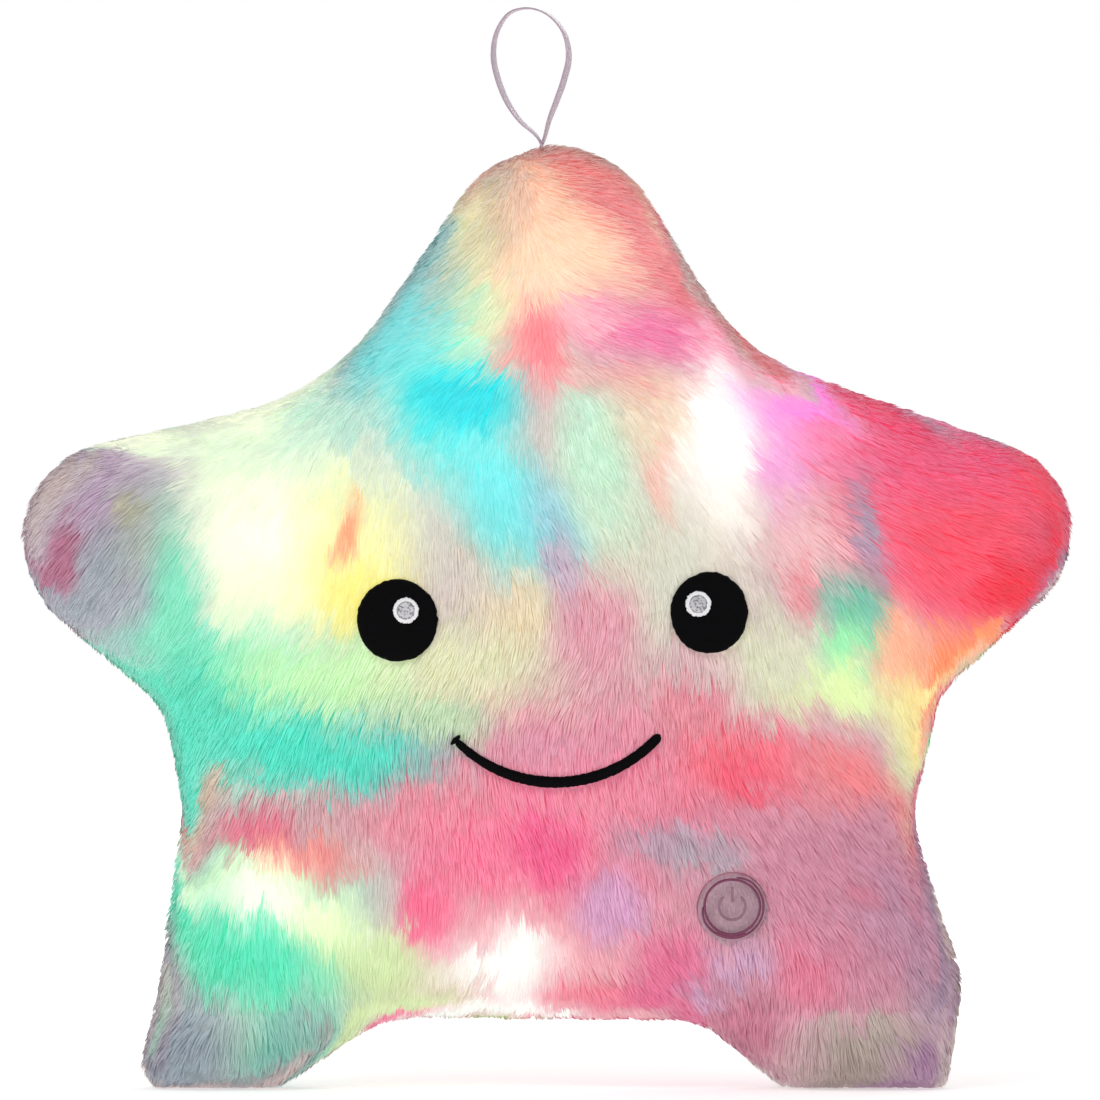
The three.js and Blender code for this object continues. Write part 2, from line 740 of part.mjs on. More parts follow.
function buildFace() {
  const blackThread = finish('#0b090c', 0.35);
  const glintThread = finish('#e9e6ea', 0.4);
  const farFront = -bodyDepth;
  const eyeLayer = layerOn(front, fit, eyeThickness);
  const glintLayer = layerOn(front, 2 * fit + eyeThickness, glintThickness);
  for (const [side, eye] of Object.entries({ left: leftEye, right: rightEye })) {
    const disc = alongDepth(circleShape(eye.across, eye.up, eyeRadius), farFront, 0);
    addPiece(`${side}_eye`, geometryOf(solid(disc).intersect(eyeLayer)), blackThread);
    const spot = circleShape(eye.across + eye.glintAcross, eye.up + eye.glintUp, glintRadius);
    const glint = solid(alongDepth(spot, farFront, 0)).intersect(glintLayer);
    addPiece(`${side}_eye_glint`, geometryOf(glint), glintThread);
  }
  const radius = (smileHalfWidth ** 2 + smileSag ** 2) / (2 * smileSag);
  const reach = Math.asin(smileHalfWidth / radius);
  const smileUp = smileLow + radius;
  const down = -Math.PI / 2;
  const arc = arcBand(smileAcross, smileUp, radius, smileThread, down - reach, down + reach);
  const tick = barShape(radius - smileTickLength / 2, radius + smileTickLength / 2, 0, smileTickThread);
  const tickPiece = alongDepth(tick, farFront, 0).rotateY(reach - down);
  tickPiece.translate(smileAcross, 0, smileUp);
  const smile = solid(alongDepth(arc, farFront, 0)).add(solid(tickPiece));
  addPiece('smile', geometryOf(smile.intersect(layerOn(front, fit, smileThickness))), blackThread);
}

/** A flat shape drawn in the patch's own frame, laid on the cover. */
function onPatch(shape, layer) {
  const prism = alongDepth(shape, -pressTravel - overrun, pressTravel + overrun, smallSides);
  return geometryOf(solid(prism.applyMatrix4(patchFrame.matrix)).intersect(layer));
}

function buildSwitch() {
  const thread = finish('#6d3650', 0.6);
  const layer = layerOn(front, fit, ringThickness);
  const ring = circleShape(0, 0, ringRadius);
  ring.holes.push(new THREE.Path().absarc(0, 0, ringRadius - ringThread, 0, 2 * Math.PI));
  addPiece('switch_ring', onPatch(ring, layer), thread);
  const markStart = Math.PI / 2 + markOpening / 2;
  const markEnd = Math.PI * 2.5 - markOpening / 2;
  const arc = arcBand(0, 0, markRadius, markThread, markStart, markEnd);
  addPiece('switch_mark_arc', onPatch(arc, layer), thread);
  const barLow = markRadius - markBarLength / 2;
  const bar = barShape(-markThread / 2, markThread / 2, barLow, barLow + markBarLength);
  addPiece('switch_mark_bar', onPatch(bar, layer), thread);

  const works = new THREE.Group();
  works.position.copy(patchFrame.place);
  works.quaternion.copy(patchFrame.turn);
  group.add(works);
  const white = finish('#ecebe6', 0.45);
  const capFlangeLow = capFlangeTop - capFlangeDepth;
  addPiece('button_cap', turned([
    [0, capTop],
    [capRadius, capTop],
    [capRadius, capFlangeTop],
    [capRadius + capFlangeReach, capFlangeTop],
    [capRadius + capFlangeReach, capFlangeLow],
    [capRadius - capWall, capFlangeLow],
    [capRadius - capWall, capTop - capWall],
    [0, capTop - capWall],
  ]), white, works);
  addPiece('switch_case', turned([
    [capRadius + fit, caseTop],
    [caseRadius, caseTop],
    [caseRadius, backPlateTop + fit],
    [caseRadius - caseWall, backPlateTop + fit],
    [caseRadius - caseWall, caseCeiling],
    [capRadius + fit, caseCeiling],
    [capRadius + fit, caseTop],
  ]), white, works);
  const ledgeOut = caseRadius - caseWall - fit;
  const ledgeIn = ledgeOut - caseWall;
  addPiece('switch_case_back', turned([
    [glandRadius + fit, backPlateLow],
    [caseRadius, backPlateLow],
    [caseRadius, backPlateTop],
    [ledgeOut, backPlateTop],
    [ledgeOut, boardLow - fit],
    [ledgeIn, boardLow - fit],
    [ledgeIn, backPlateTop],
    [glandRadius + fit, backPlateTop],
    [glandRadius + fit, backPlateLow],
  ]), white, works);
  addPiece('wire_gland', turned([
    [0, glandLow],
    [glandRadius + glandFlangeReach, glandLow],
    [glandRadius + glandFlangeReach, backPlateLow - fit],
    [glandRadius, backPlateLow - fit],
    [glandRadius, backPlateTop],
    [0, backPlateTop],
  ], smallSides), finish('#2c2a2e', 0.8), works);
  addPiece('control_board', drum(ledgeOut, boardLow, boardTop), finish('#2f7a4a', 0.5), works);

  const half = clickSwitchSize / 2;
  const switchLow = boardTop + fit;
  const switchHigh = switchLow + clickSwitchHeight;
  const stemLow = switchHigh - fit;
  const bore = drum(clickStemRadius + fit, stemLow - pressTravel - fit, switchHigh + overrun, smallSides);
  const body = solid(block(
    new THREE.Vector3(-half, switchLow, -half),
    new THREE.Vector3(half, switchHigh, half),
  )).subtract(solid(bore));
  const dark = finish('#1d1d20', 0.5);
  addPiece('click_switch', geometryOf(body), dark, works);
  const stem = drum(clickStemRadius, stemLow, capTop - capWall - fit, smallSides);
  addPiece('click_stem', stem, finish('#f1f1ee', 0.4), works);
  addPiece('control_chip', block(
    new THREE.Vector3(-chipWidth / 2, switchLow, chipOffset - chipLength / 2),
    new THREE.Vector3(chipWidth / 2, switchLow + chipHeight, chipOffset + chipLength / 2),
  ), dark, works);
}

function buildLamps() {
  const resin = finish('#f7fbff', 0.2);
  const boardFinish = finish('#2f7a4a', 0.5);
  const wireFinish = finish('#f3efe6', 0.6);
  const seatHigh = fit + lampBoardThickness;
  const barrelTop = seatHigh + lampFlangeDepth + lampBarrel;
  const dome = Array.from({ length: domeSteps + 1 }, (_, i) => {
    const turn = (Math.PI / 2) * (i / domeSteps);
    return [i === domeSteps ? 0 : lampRadius * Math.cos(turn), barrelTop + lampRadius * Math.sin(turn)];
  });
  const lens = turned([
    [0, seatHigh],
    [lampRadius + lampFlangeReach, seatHigh],
    [lampRadius + lampFlangeReach, seatHigh + lampFlangeDepth],
    [lampRadius, seatHigh + lampFlangeDepth],
    ...dome,
  ], smallSides);
  for (const lamp of lamps) {
    const holder = new THREE.Group();
    holder.position.set(lamp.across, lampBack(lamp), lamp.up);
    holder.rotation.x = Math.PI;
    group.add(holder);
    addPiece(`lamp_${lamp.name}`, lens, resin, holder);
    const board = drum(lampBoardRadius, 0, lampBoardThickness, smallSides);
    addPiece(`lamp_board_${lamp.name}`, board, boardFinish, holder);
    const lead = wireAlong(lampLeadCurve(lamp), wireDiameter / 2, leadSteps);
    addPiece(`lamp_lead_${lamp.name}`, lead, wireFinish);
  }
  addPiece('battery_lead', wireAlong(batteryLeadCurve(), wireDiameter / 2, batteryLeadSteps), wireFinish);
}

function buildZip() {
  const cloth = finish('#b9829b', 0.9);
  const nylon = finish('#8f5f78', 0.5);
  const metal = finish('#b7b7bc', 0.3, 1);
  const halfLength = pouchHalfLength - fit;
  const chainEnd = slotLength / 2 - slotHeight / 4;
  const toothCount = Math.floor((2 * (chainEnd - stopLength - fit)) / toothPitch);
  for (const [name, way] of [['upper', 1], ['lower', -1]]) {
    const inner = zipUp + way * (chainHalfWidth + fit);
    const outer = zipUp + way * (chainGap + tapeWidth);
    const edges = [Math.min(inner, outer), Math.max(inner, outer)];
    addPiece(`zip_tape_${name}`, block(
      new THREE.Vector3(-halfLength, tapeInside, edges[0]),
      new THREE.Vector3(halfLength, tapeOutside, edges[1]),
    ), cloth);
    const row = new THREE.Shape();
    const head = zipUp + way * chainGap;
    const root = zipUp + way * (chainGap + chainHalfWidth) / 2;
    row.moveTo(-chainEnd, zipUp + way * chainHalfWidth);
    row.lineTo(-chainEnd, root);
    for (let i = 0; i < toothCount; i += 1) {
      const middle = (i - (toothCount - 1) / 2) * toothPitch;
      row.lineTo(middle - toothLength / 2, root);
      row.lineTo(middle - toothHead / 2, head);
      row.lineTo(middle + toothHead / 2, head);
      row.lineTo(middle + toothLength / 2, root);
    }
    row.lineTo(chainEnd, root);
    row.lineTo(chainEnd, zipUp + way * chainHalfWidth);
    addPiece(`zip_teeth_${name}`, alongDepth(row, toothLow, toothTop), nylon);
  }
  for (const [name, way] of [['left', -1], ['right', 1]]) {
    const ends = [way * chainEnd + way * fit, way * (chainEnd + stopLength)];
    addPiece(`zip_stop_${name}`, block(
      new THREE.Vector3(Math.min(...ends), tapeInside, zipUp - chainHalfWidth),
      new THREE.Vector3(Math.max(...ends), tapeOutside, zipUp + chainHalfWidth),
    ), metal);
  }

  const sliderMiddle = chainEnd - sliderLength / 2 - fit;
  const slider = new THREE.Group();
  slider.position.set(sliderMiddle, 0, zipUp);
  group.add(slider);
  const section = new THREE.Shape([
    new THREE.Vector2(-sliderHalfWidth, sliderTop),
    new THREE.Vector2(-sliderHalfWidth, tapeOutside + fit),
    new THREE.Vector2(-chainHalfWidth - fit, tapeOutside + fit),
    new THREE.Vector2(-chainHalfWidth - fit, toothTop + fit),
    new THREE.Vector2(-sliderNeck, toothTop + fit),
    new THREE.Vector2(-sliderNeck, toothLow - fit),
    new THREE.Vector2(-sliderHalfWidth + fit, toothLow - fit),
    new THREE.Vector2(-sliderHalfWidth + fit, sliderLow),
    new THREE.Vector2(sliderHalfWidth - fit, sliderLow),
    new THREE.Vector2(sliderHalfWidth - fit, toothLow - fit),
    new THREE.Vector2(sliderNeck, toothLow - fit),
    new THREE.Vector2(sliderNeck, toothTop + fit),
    new THREE.Vector2(chainHalfWidth + fit, toothTop + fit),
    new THREE.Vector2(chainHalfWidth + fit, tapeOutside + fit),
    new THREE.Vector2(sliderHalfWidth, tapeOutside + fit),
    new THREE.Vector2(sliderHalfWidth, sliderTop),
  ]);
  const plates = new THREE.ExtrudeGeometry(section, { depth: sliderLength, bevelEnabled: false });
  plates.rotateY(Math.PI / 2).translate(-sliderLength / 2, 0, 0);
  const bridge = new THREE.Shape();
  const legs = bridgeLength / 2;
  bridge.moveTo(-legs, sliderTop - sliderPlate / 2);
  bridge.lineTo(-legs, sliderTop + bridgeRise / 2);
  bridge.quadraticCurveTo(-legs, sliderTop + bridgeRise, 0, sliderTop + bridgeRise);
  bridge.quadraticCurveTo(legs, sliderTop + bridgeRise, legs, sliderTop + bridgeRise / 2);
  bridge.lineTo(legs, sliderTop - sliderPlate / 2);
  bridge.lineTo(legs - bridgeBar, sliderTop - sliderPlate / 2);
  bridge.lineTo(legs - bridgeBar, sliderTop + bridgeRise - bridgeBar);
  bridge.lineTo(-legs + bridgeBar, sliderTop + bridgeRise - bridgeBar);
  bridge.lineTo(-legs + bridgeBar, sliderTop - sliderPlate / 2);
  bridge.closePath();
  const archOptions = { depth: bridgeWidth, bevelEnabled: false, curveSegments: domeSteps };
  const arch = new THREE.ExtrudeGeometry(bridge, archOptions).translate(0, 0, -bridgeWidth / 2);
  addPiece('zip_slider', geometryOf(solid(plates).add(solid(arch))), metal, slider);

  const pullHeight = padLevel + seamHalf + pullAboveCover + pullThickness / 2;
  const pull = new THREE.Group();
  pull.position.set(0, pullHeight, 0);
  slider.add(pull);
  const window = legs + bridgeBar;
  const tab = new THREE.Shape();
  const tabHalf = pullWidth / 2;
  tab.moveTo(pullBar / 2, -tabHalf);
  tab.lineTo(pullBar / 2, tabHalf);
  tab.lineTo(-pullLength + tabHalf, tabHalf);
  tab.absarc(-pullLength + tabHalf, 0, tabHalf, Math.PI / 2, (3 * Math.PI) / 2, false);
  tab.closePath();
  const opening = bridgeWidth / 2 + fit;
  tab.holes.push(barShape(-window, -pullBar / 2, -opening, opening));
  const pullTab = alongDepth(tab, -pullThickness / 2, pullThickness / 2, slotEndSides);
  addPiece('zip_pull', pullTab, metal, pull);
}

function buildBatteryBox() {
  const cloth = finish('#d7a9bd', 0.95);
  const plastic = finish('#e9e7e1', 0.5);
  const steel = finish('#c9c9cc', 0.3, 1);
  const outer = block(
    new THREE.Vector3(-pouchHalfLength, pouchLow, zipUp - pouchHalfHeight),
    new THREE.Vector3(pouchHalfLength, pouchTop, zipUp + pouchHalfHeight),
  );
  const insideLength = pouchHalfLength - pouchWall;
  const insideHeight = pouchHalfHeight - pouchWall;
  const inner = block(
    new THREE.Vector3(-insideLength, pouchLow + pouchWall, zipUp - insideHeight),
    new THREE.Vector3(insideLength, pouchTop - pouchWall, zipUp + insideHeight),
  );
  const mouth = block(
    new THREE.Vector3(-slotLength / 2, pouchTop - 2 * pouchWall, zipUp - slotHeight / 2),
    new THREE.Vector3(slotLength / 2, pouchTop + overrun, zipUp + slotHeight / 2),
  );
  const eyeletLow = pouchHalfLength - 2 * pouchWall;
  const eyelet = drum(wireDiameter / 2 + fit, eyeletLow, pouchHalfLength + overrun, smallSides);
  eyelet.rotateZ(-Math.PI / 2).translate(0, leadLevel, leadUp);
  const pouch = solid(outer).subtract(solid(inner)).subtract(solid(mouth)).subtract(solid(eyelet));
  addPiece('battery_pouch', geometryOf(pouch), cloth);

  const tray = solid(block(
    new THREE.Vector3(trayLeft, trayLow, zipUp - trayHalfHeight),
    new THREE.Vector3(trayRight, trayTop, zipUp + trayHalfHeight),
  )).subtract(solid(block(
    new THREE.Vector3(trayLeft + trayWall, trayLow + trayWall, zipUp - trayHalfHeight + trayWall),
    new THREE.Vector3(trayRight - trayWall, trayTop + overrun, zipUp + trayHalfHeight - trayWall),
  ))).add(solid(block(
    new THREE.Vector3(trayRight - trayWall, trayTop - screwLength, zipUp - earHalfWidth),
    new THREE.Vector3(trayRight + earLength, trayTop, zipUp + earHalfWidth),
  )));
  const screwAcross = trayRight + earLength / 2;
  const holeLow = trayTop - screwLength + trayWall;
  const screwHole = drum(screwShankRadius + fit, holeLow, trayTop + overrun, smallSides);
  screwHole.translate(screwAcross, 0, zipUp);
  addPiece('battery_tray', geometryOf(tray.subtract(solid(screwHole))), plastic);

  const lidLow = trayTop + fit;
  const lidHigh = lidLow + lidThickness;
  const lid = new THREE.Shape([
    new THREE.Vector2(trayLeft, zipUp - trayHalfHeight),
    new THREE.Vector2(trayRight, zipUp - trayHalfHeight),
    new THREE.Vector2(trayRight, zipUp - earHalfWidth),
    new THREE.Vector2(trayRight + earLength, zipUp - earHalfWidth),
    new THREE.Vector2(trayRight + earLength, zipUp + earHalfWidth),
    new THREE.Vector2(trayRight, zipUp + earHalfWidth),
    new THREE.Vector2(trayRight, zipUp + trayHalfHeight),
    new THREE.Vector2(trayLeft, zipUp + trayHalfHeight),
  ]);
  lid.holes.push(new THREE.Path().absarc(screwAcross, zipUp, screwShankRadius + fit, 0, 2 * Math.PI));
  addPiece('battery_lid', alongDepth(lid, lidLow, lidHigh, slotEndSides), plastic);
  const screwLow = holeLow + fit;
  const headLow = lidHigh + fit;
  const screw = turned([
    [0, screwLow],
    [screwShankRadius, screwLow],
    [screwShankRadius, headLow],
    [screwHeadRadius, headLow],
    [screwHeadRadius, headLow + screwHeadHeight / 2],
    [screwHeadRadius / 2, headLow + screwHeadHeight],
    [0, headLow + screwHeadHeight],
  ], smallSides);
  addPiece('lid_screw', screw.translate(screwAcross, 0, zipUp), steel);

  const insideLeft = trayLeft + trayWall + fit;
  const insideRight = trayRight - trayWall - fit;
  const plateReach = cellPitch + cellDiameter / 2 - fit;
  const plateHalf = cellDiameter / 2 - fit;
  const contactPlate = (from, to) => block(
    new THREE.Vector3(from, cellMiddle - plateHalf, zipUp - plateReach),
    new THREE.Vector3(to, cellMiddle + plateHalf, zipUp + plateReach),
  );
  let springPlate = solid(contactPlate(insideLeft, insideLeft + contactThickness));
  const nippleEnd = insideRight - contactThickness - fit;
  const cellRight = nippleEnd - cellNippleLength;
  const cellLeft = cellRight - cellLength;
  for (const [order, step] of [-1, 0, 1].entries()) {
    const up = zipUp + step * cellPitch;
    const spring = turned([
      [0, insideLeft + contactThickness / 2],
      [contactSpringRadius, insideLeft + contactThickness / 2],
      [contactSpringRadius / 2, cellLeft - fit],
      [0, cellLeft - fit],
    ], smallSides).rotateZ(-Math.PI / 2).translate(0, cellMiddle, up);
    springPlate = springPlate.add(solid(spring));
    const cell = turned([
      [0, cellLeft],
      [cellDiameter / 2, cellLeft],
      [cellDiameter / 2, cellRight],
      [cellNippleRadius, cellRight],
      [cellNippleRadius, nippleEnd],
      [0, nippleEnd],
    ], smallSides).rotateZ(-Math.PI / 2).translate(0, cellMiddle, up);
    addPiece(`battery_cell_${order + 1}`, cell, finish('#3d6f9e', 0.4));
  }
  addPiece('contact_springs', geometryOf(springPlate), steel);
  addPiece('contact_plate', contactPlate(insideRight - contactThickness, insideRight), steel);
}

buildCovers();
buildFill();
buildLoop();
buildFace();
buildSwitch();
buildLamps();
buildZip();
buildBatteryBox();

export default group;
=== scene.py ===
"""Looks of a smiling star-shaped plush night light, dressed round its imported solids.

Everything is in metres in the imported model's frame: +X to the right, the face looks along -Y, +Z up.
"""
import logging
import math
from dataclasses import dataclass
from enum import Enum
from typing import Callable, Iterable, Mapping, Optional, Sequence, Union

import bmesh
import bpy
import numpy as np
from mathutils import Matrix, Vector
from mathutils.kdtree import KDTree


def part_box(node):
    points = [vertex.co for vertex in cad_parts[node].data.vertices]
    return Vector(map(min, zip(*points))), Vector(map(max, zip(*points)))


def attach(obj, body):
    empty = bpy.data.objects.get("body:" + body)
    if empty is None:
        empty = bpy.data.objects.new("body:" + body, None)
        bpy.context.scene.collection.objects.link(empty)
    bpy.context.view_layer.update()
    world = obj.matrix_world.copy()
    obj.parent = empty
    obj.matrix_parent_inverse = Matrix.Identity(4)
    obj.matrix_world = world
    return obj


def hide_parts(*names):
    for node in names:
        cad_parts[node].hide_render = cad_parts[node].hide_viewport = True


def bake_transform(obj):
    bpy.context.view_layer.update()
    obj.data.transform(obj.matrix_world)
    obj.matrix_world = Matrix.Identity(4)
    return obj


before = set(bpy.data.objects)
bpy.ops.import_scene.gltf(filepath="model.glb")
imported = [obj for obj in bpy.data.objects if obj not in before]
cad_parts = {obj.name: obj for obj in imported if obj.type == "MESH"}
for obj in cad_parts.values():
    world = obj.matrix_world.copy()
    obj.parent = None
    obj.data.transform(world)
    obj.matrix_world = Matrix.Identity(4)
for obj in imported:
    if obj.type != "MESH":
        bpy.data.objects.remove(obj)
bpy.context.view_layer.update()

MM = 0.001
SCREEN_KNEE = 0.04045
SMALL = 1e-6
SMALLER = 1e-9
LOG = logging.getLogger("night_light")
Array = np.ndarray
Draw = np.random.Generator
Piece = bpy.types.Object
Pair = tuple[float, float]
Place = tuple[float, float, float]
Colour = tuple[float, float, float]
Sockets = dict[str, object]


class Side(Enum):
    """The two panels of the star, with the sign of their depth."""

    FRONT = -1
    BACK = 1


class Body(Enum):
    """The moving bodies of the part."""

    STAR = "star"
    BUTTON = "switch_button"
    LOOP = "ribbon_loop"


def written(code: str) -> Array:
    """Red, green and blue of a colour written like #a0b0c0, from 0 to 1 as on a screen."""
    return np.array([int(code[start : start + 2], 16) / 255 for start in (1, 3, 5)])


def in_light(screen: Array) -> Array:
    """Turns screen values into the linear values that shaders take."""
    return np.where(screen <= SCREEN_KNEE, screen / 12.92, ((screen + 0.055) / 1.055) ** 2.4)


def linear(code: str) -> Colour:
    """Turns a written colour into linear red, green and blue."""
    return tuple(in_light(written(code)).tolist())


def smooth(value: Array, low: float, high: float) -> Array:
    """Eases numbers from 0 at low to 1 at high."""
    share = np.clip((value - low) / (high - low), 0, 1)
    return share * share * (3 - 2 * share)


def unit(vectors: Array) -> Array:
    """Scales each vector to length 1."""
    return vectors / np.maximum(np.linalg.norm(vectors, axis=-1, keepdims=True), 1e-12)


# Shader maths


class Wire:
    """An output socket of a material, with arithmetic that adds Math nodes."""

    def __init__(self, graph: "Graph", socket: Optional[bpy.types.NodeSocket]) -> None:
        """Keeps the socket, if the node has one, and its graph."""
        self.graph = graph
        self.socket = socket

    def __add__(self, other: "Term") -> "Wire":
        """Sum with a wire or a number."""
        return self.graph.math("ADD", self, other)

    __radd__ = __add__

    def __sub__(self, other: "Term") -> "Wire":
        """This less a wire or a number."""
        return self.graph.math("SUBTRACT", self, other)

    def __rsub__(self, other: "Term") -> "Wire":
        """A number less this."""
        return self.graph.math("SUBTRACT", other, self)

    def __mul__(self, other: "Term") -> "Wire":
        """Product with a wire or a number."""
        return self.graph.math("MULTIPLY", self, other)

    __rmul__ = __mul__


Term = Union[Wire, float]


class Graph:
    """The nodes of one material, or of the world."""

    def __init__(self, owner: Union[bpy.types.Material, bpy.types.World]) -> None:
        """Starts without any nodes.

        Args:
            owner: What the nodes belong to.
        """
        self.owner = owner
        self.owner.use_nodes = True
        self.tree = owner.node_tree
        self.tree.nodes.clear()

    def node(
        self,
        kind: str,
        settings: Optional[Mapping[str, object]] = None,
        inputs: Optional[Mapping[Union[int, str], object]] = None,
        output: Union[int, str] = 0,
    ) -> Wire:
        """Adds a node of any type.

        Args:
            kind: The node's type.
            settings: Its own settings, set first. "stops" lists a ramp's places and colours.
            inputs: Values or wires by the socket's name or number.
            output: The socket to return.

        Returns:
            The chosen output.
        """
        made = self.tree.nodes.new(kind)
        for key, value in (settings or {}).items():
            if key != "stops":
                setattr(made, key, value)
                continue
            ramp = made.color_ramp
            while len(ramp.elements) < len(value):
                ramp.elements.new(1)
            for element, (place, colour) in zip(ramp.elements, value):
                element.position = place
                element.color = (*colour, 1)
        for key, value in (inputs or {}).items():
            self.feed(made.inputs[key], value)
        return Wire(self, made.outputs[output] if made.outputs else None)

    def feed(self, socket: bpy.types.NodeSocket, value: object) -> None:
        """Links a wire to a socket, or sets its value.

        Args:
            socket: The input.
            value: A wire, or a number, vector or colour.
        """
        if isinstance(value, Wire):
            self.tree.links.new(value.socket, socket)
        elif socket.type == "RGBA" and len(value) == 3:
            socket.default_value = (*value, 1)
        else:
            socket.default_value = value

    def math(self, operation: str, *terms: Term) -> Wire:
        """Arithmetic on numbers."""
        return self.node("ShaderNodeMath", {"operation": operation}, dict(enumerate(terms)))

    def vector(self, operation: str, *terms: object) -> Wire:
        """Arithmetic on vectors and colours."""
        return self.node("ShaderNodeVectorMath", {"operation": operation}, dict(enumerate(terms)))

    def scaled(self, vector: object, factor: Term) -> Wire:
        """A vector or colour times a number."""
        inputs = {0: vector, "Scale": factor}
        return self.node("ShaderNodeVectorMath", {"operation": "SCALE"}, inputs)

    def part(self, vector: Wire, axis: str) -> Wire:
        """One of the X, Y and Z numbers of a vector."""
        return self.node("ShaderNodeSeparateXYZ", None, {0: vector}, axis)

    def mix(self, share: Term, first: object, second: object) -> Wire:
        """A blend of two colours, with so much of the second."""
        settings = {"data_type": "RGBA", "clamp_factor": True}
        return self.node("ShaderNodeMix", settings, {0: share, 6: first, 7: second}, 2)

    def eased(self, value: Term, low: float, high: float, start: float = 0, end: float = 1) -> Wire:
        """Eases a number from start at low to end at high."""
        inputs = {"Value": value, 1: low, 2: high, 3: start, 4: end}
        return self.node("ShaderNodeMapRange", {"interpolation_type": "SMOOTHSTEP"}, inputs)

    def noise(
        self, place: Wire, scale: float, detail: float = 2, output: Union[int, str] = 0
    ) -> Wire:
        """Soft noise with so many lumps to the metre."""
        inputs = {"Vector": place, "Scale": scale, "Detail": detail}
        return self.node("ShaderNodeTexNoise", None, inputs, output)

    def stretched(self, place: Wire, scales: Sequence[float], detail: float = 2) -> Wire:
        """Soft noise with its own number of lumps to the metre along each axis."""
        return self.noise(self.vector("MULTIPLY", place, scales), 1, detail)

    def position(self) -> Wire:
        """The place on the piece at rest, in metres."""
        return self.node("ShaderNodeTexCoord", output="Object")

    def attribute(self, name: str, output: str = "Fac") -> Wire:
        """A value that the mesh carries."""
        return self.node("ShaderNodeAttribute", {"attribute_name": name}, output=output)

    def bump(self, height: Wire, distance: float, strength: float = 1) -> Wire:
        """A normal roughened by a height in metres times distance."""
        inputs = {"Strength": strength, "Distance": distance, "Height": height}
        return self.node("ShaderNodeBump", None, inputs)

    def surface(self, sockets: Sockets) -> bpy.types.Material:
        """Ends the material in a Principled shader.

        Args:
            sockets: Values or wires by the name of the shader's socket.

        Returns:
            The finished material.
        """
        shader = self.node("ShaderNodeBsdfPrincipled", None, sockets)
        self.node("ShaderNodeOutputMaterial", None, {"Surface": shader})
        return self.owner


# Sizes below are in millimetres, as on the drawing; mesh() turns them into metres.


def mesh(
    name: str,
    corners: Array,
    faces: Iterable[Array],
    values: Optional[Mapping[str, Array]] = None,
    shaded: Optional[Array] = None,
) -> Piece:
    """Makes a smooth mesh object.

    Args:
        name: The object's name.
        corners: Places of the corners in millimetres.
        faces: Arrays of corner numbers, one row to a face.
        values: Numbers, places or colours that each corner carries.
        shaded: Normals to shade the corners with.

    Returns:
        The object, in the scene.
    """
    groups = [np.asarray(group, dtype=np.int64) for group in faces if len(group)]
    loops = np.concatenate([group.ravel() for group in groups])
    sizes = np.concatenate([np.full(len(group), group.shape[1]) for group in groups])
    data = bpy.data.meshes.new(name)
    data.vertices.add(len(corners))
    data.vertices.foreach_set("co", (np.asarray(corners) * MM).astype(np.float32).ravel())
    data.loops.add(len(loops))
    data.loops.foreach_set("vertex_index", loops.astype(np.int32))
    data.polygons.add(len(sizes))
    data.polygons.foreach_set("loop_start", (np.cumsum(sizes) - sizes).astype(np.int32))
    data.update(calc_edges=True)
    data.shade_smooth()
    store(data, values or {})
    if shaded is not None:
        data.normals_split_custom_set_from_vertices(shaded.astype(np.float32))
    return laid(name, data)


def store(data: bpy.types.Mesh, values: Mapping[str, Array]) -> None:
    """Keeps values on a mesh's corners.

    Args:
        data: The mesh.
        values: Numbers or colours, one to a corner.
    """
    for key, value in values.items():
        kind, part = ("FLOAT", "value") if value.ndim == 1 else ("FLOAT_COLOR", "color")
        layer = data.attributes.new(key, kind, "POINT")
        layer.data.foreach_set(part, value.astype(np.float32).ravel())


def laid(name: str, data: bpy.types.ID) -> Piece:
    """Puts a mesh, lamp or camera into the scene.

    Args:
        name: The object's name.
        data: What it holds.

    Returns:
        The object.
    """
    made = bpy.data.objects.new(name, data)
    bpy.context.collection.objects.link(made)
    return made


def dress(piece: Piece, finish: "Finish", body: Optional[Body] = Body.STAR) -> Piece:
    """Gives a piece its finish and the body that carries it.

    Args:
        piece: The mesh object.
        finish: Its finish.
        body: The body, or none to attach it to no body.

    Returns:
        The same piece.
    """
    piece.data.materials.clear()
    piece.data.materials.append(finish.material())
    if body:
        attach(piece, body.value)
    return piece


def thicken(piece: Piece, thickness: float) -> Piece:
    """Gives an open surface a thickness inwards, so that it is closed.

    Args:
        piece: The mesh object.
        thickness: The cloth's thickness.

    Returns:
        The same piece.
    """
    work = bmesh.new()
    work.from_mesh(piece.data)
    bmesh.ops.recalc_face_normals(work, faces=work.faces)
    bmesh.ops.solidify(work, geom=work.faces, thickness=thickness * MM)
    bmesh.ops.recalc_face_normals(work, faces=work.faces)
    work.to_mesh(piece.data)
    work.free()
    piece.data.shade_smooth()
    return piece


def circle(sides: int) -> Array:
    """Evenly spaced angles once round."""
    return np.linspace(0, 2 * math.pi, sides, endpoint=False)


def round_ways(turn: Array) -> Array:
    """The direction at each angle, in a plane."""
    return np.stack([np.cos(turn), np.sin(turn)], -1)


def squared(turn: Array, power: float) -> tuple[Array, Array]:
    """Cosines and sines of a round that is squarer where the power is below 1."""
    return tuple(np.sign(wave) * np.abs(wave) ** power for wave in (np.cos(turn), np.sin(turn)))


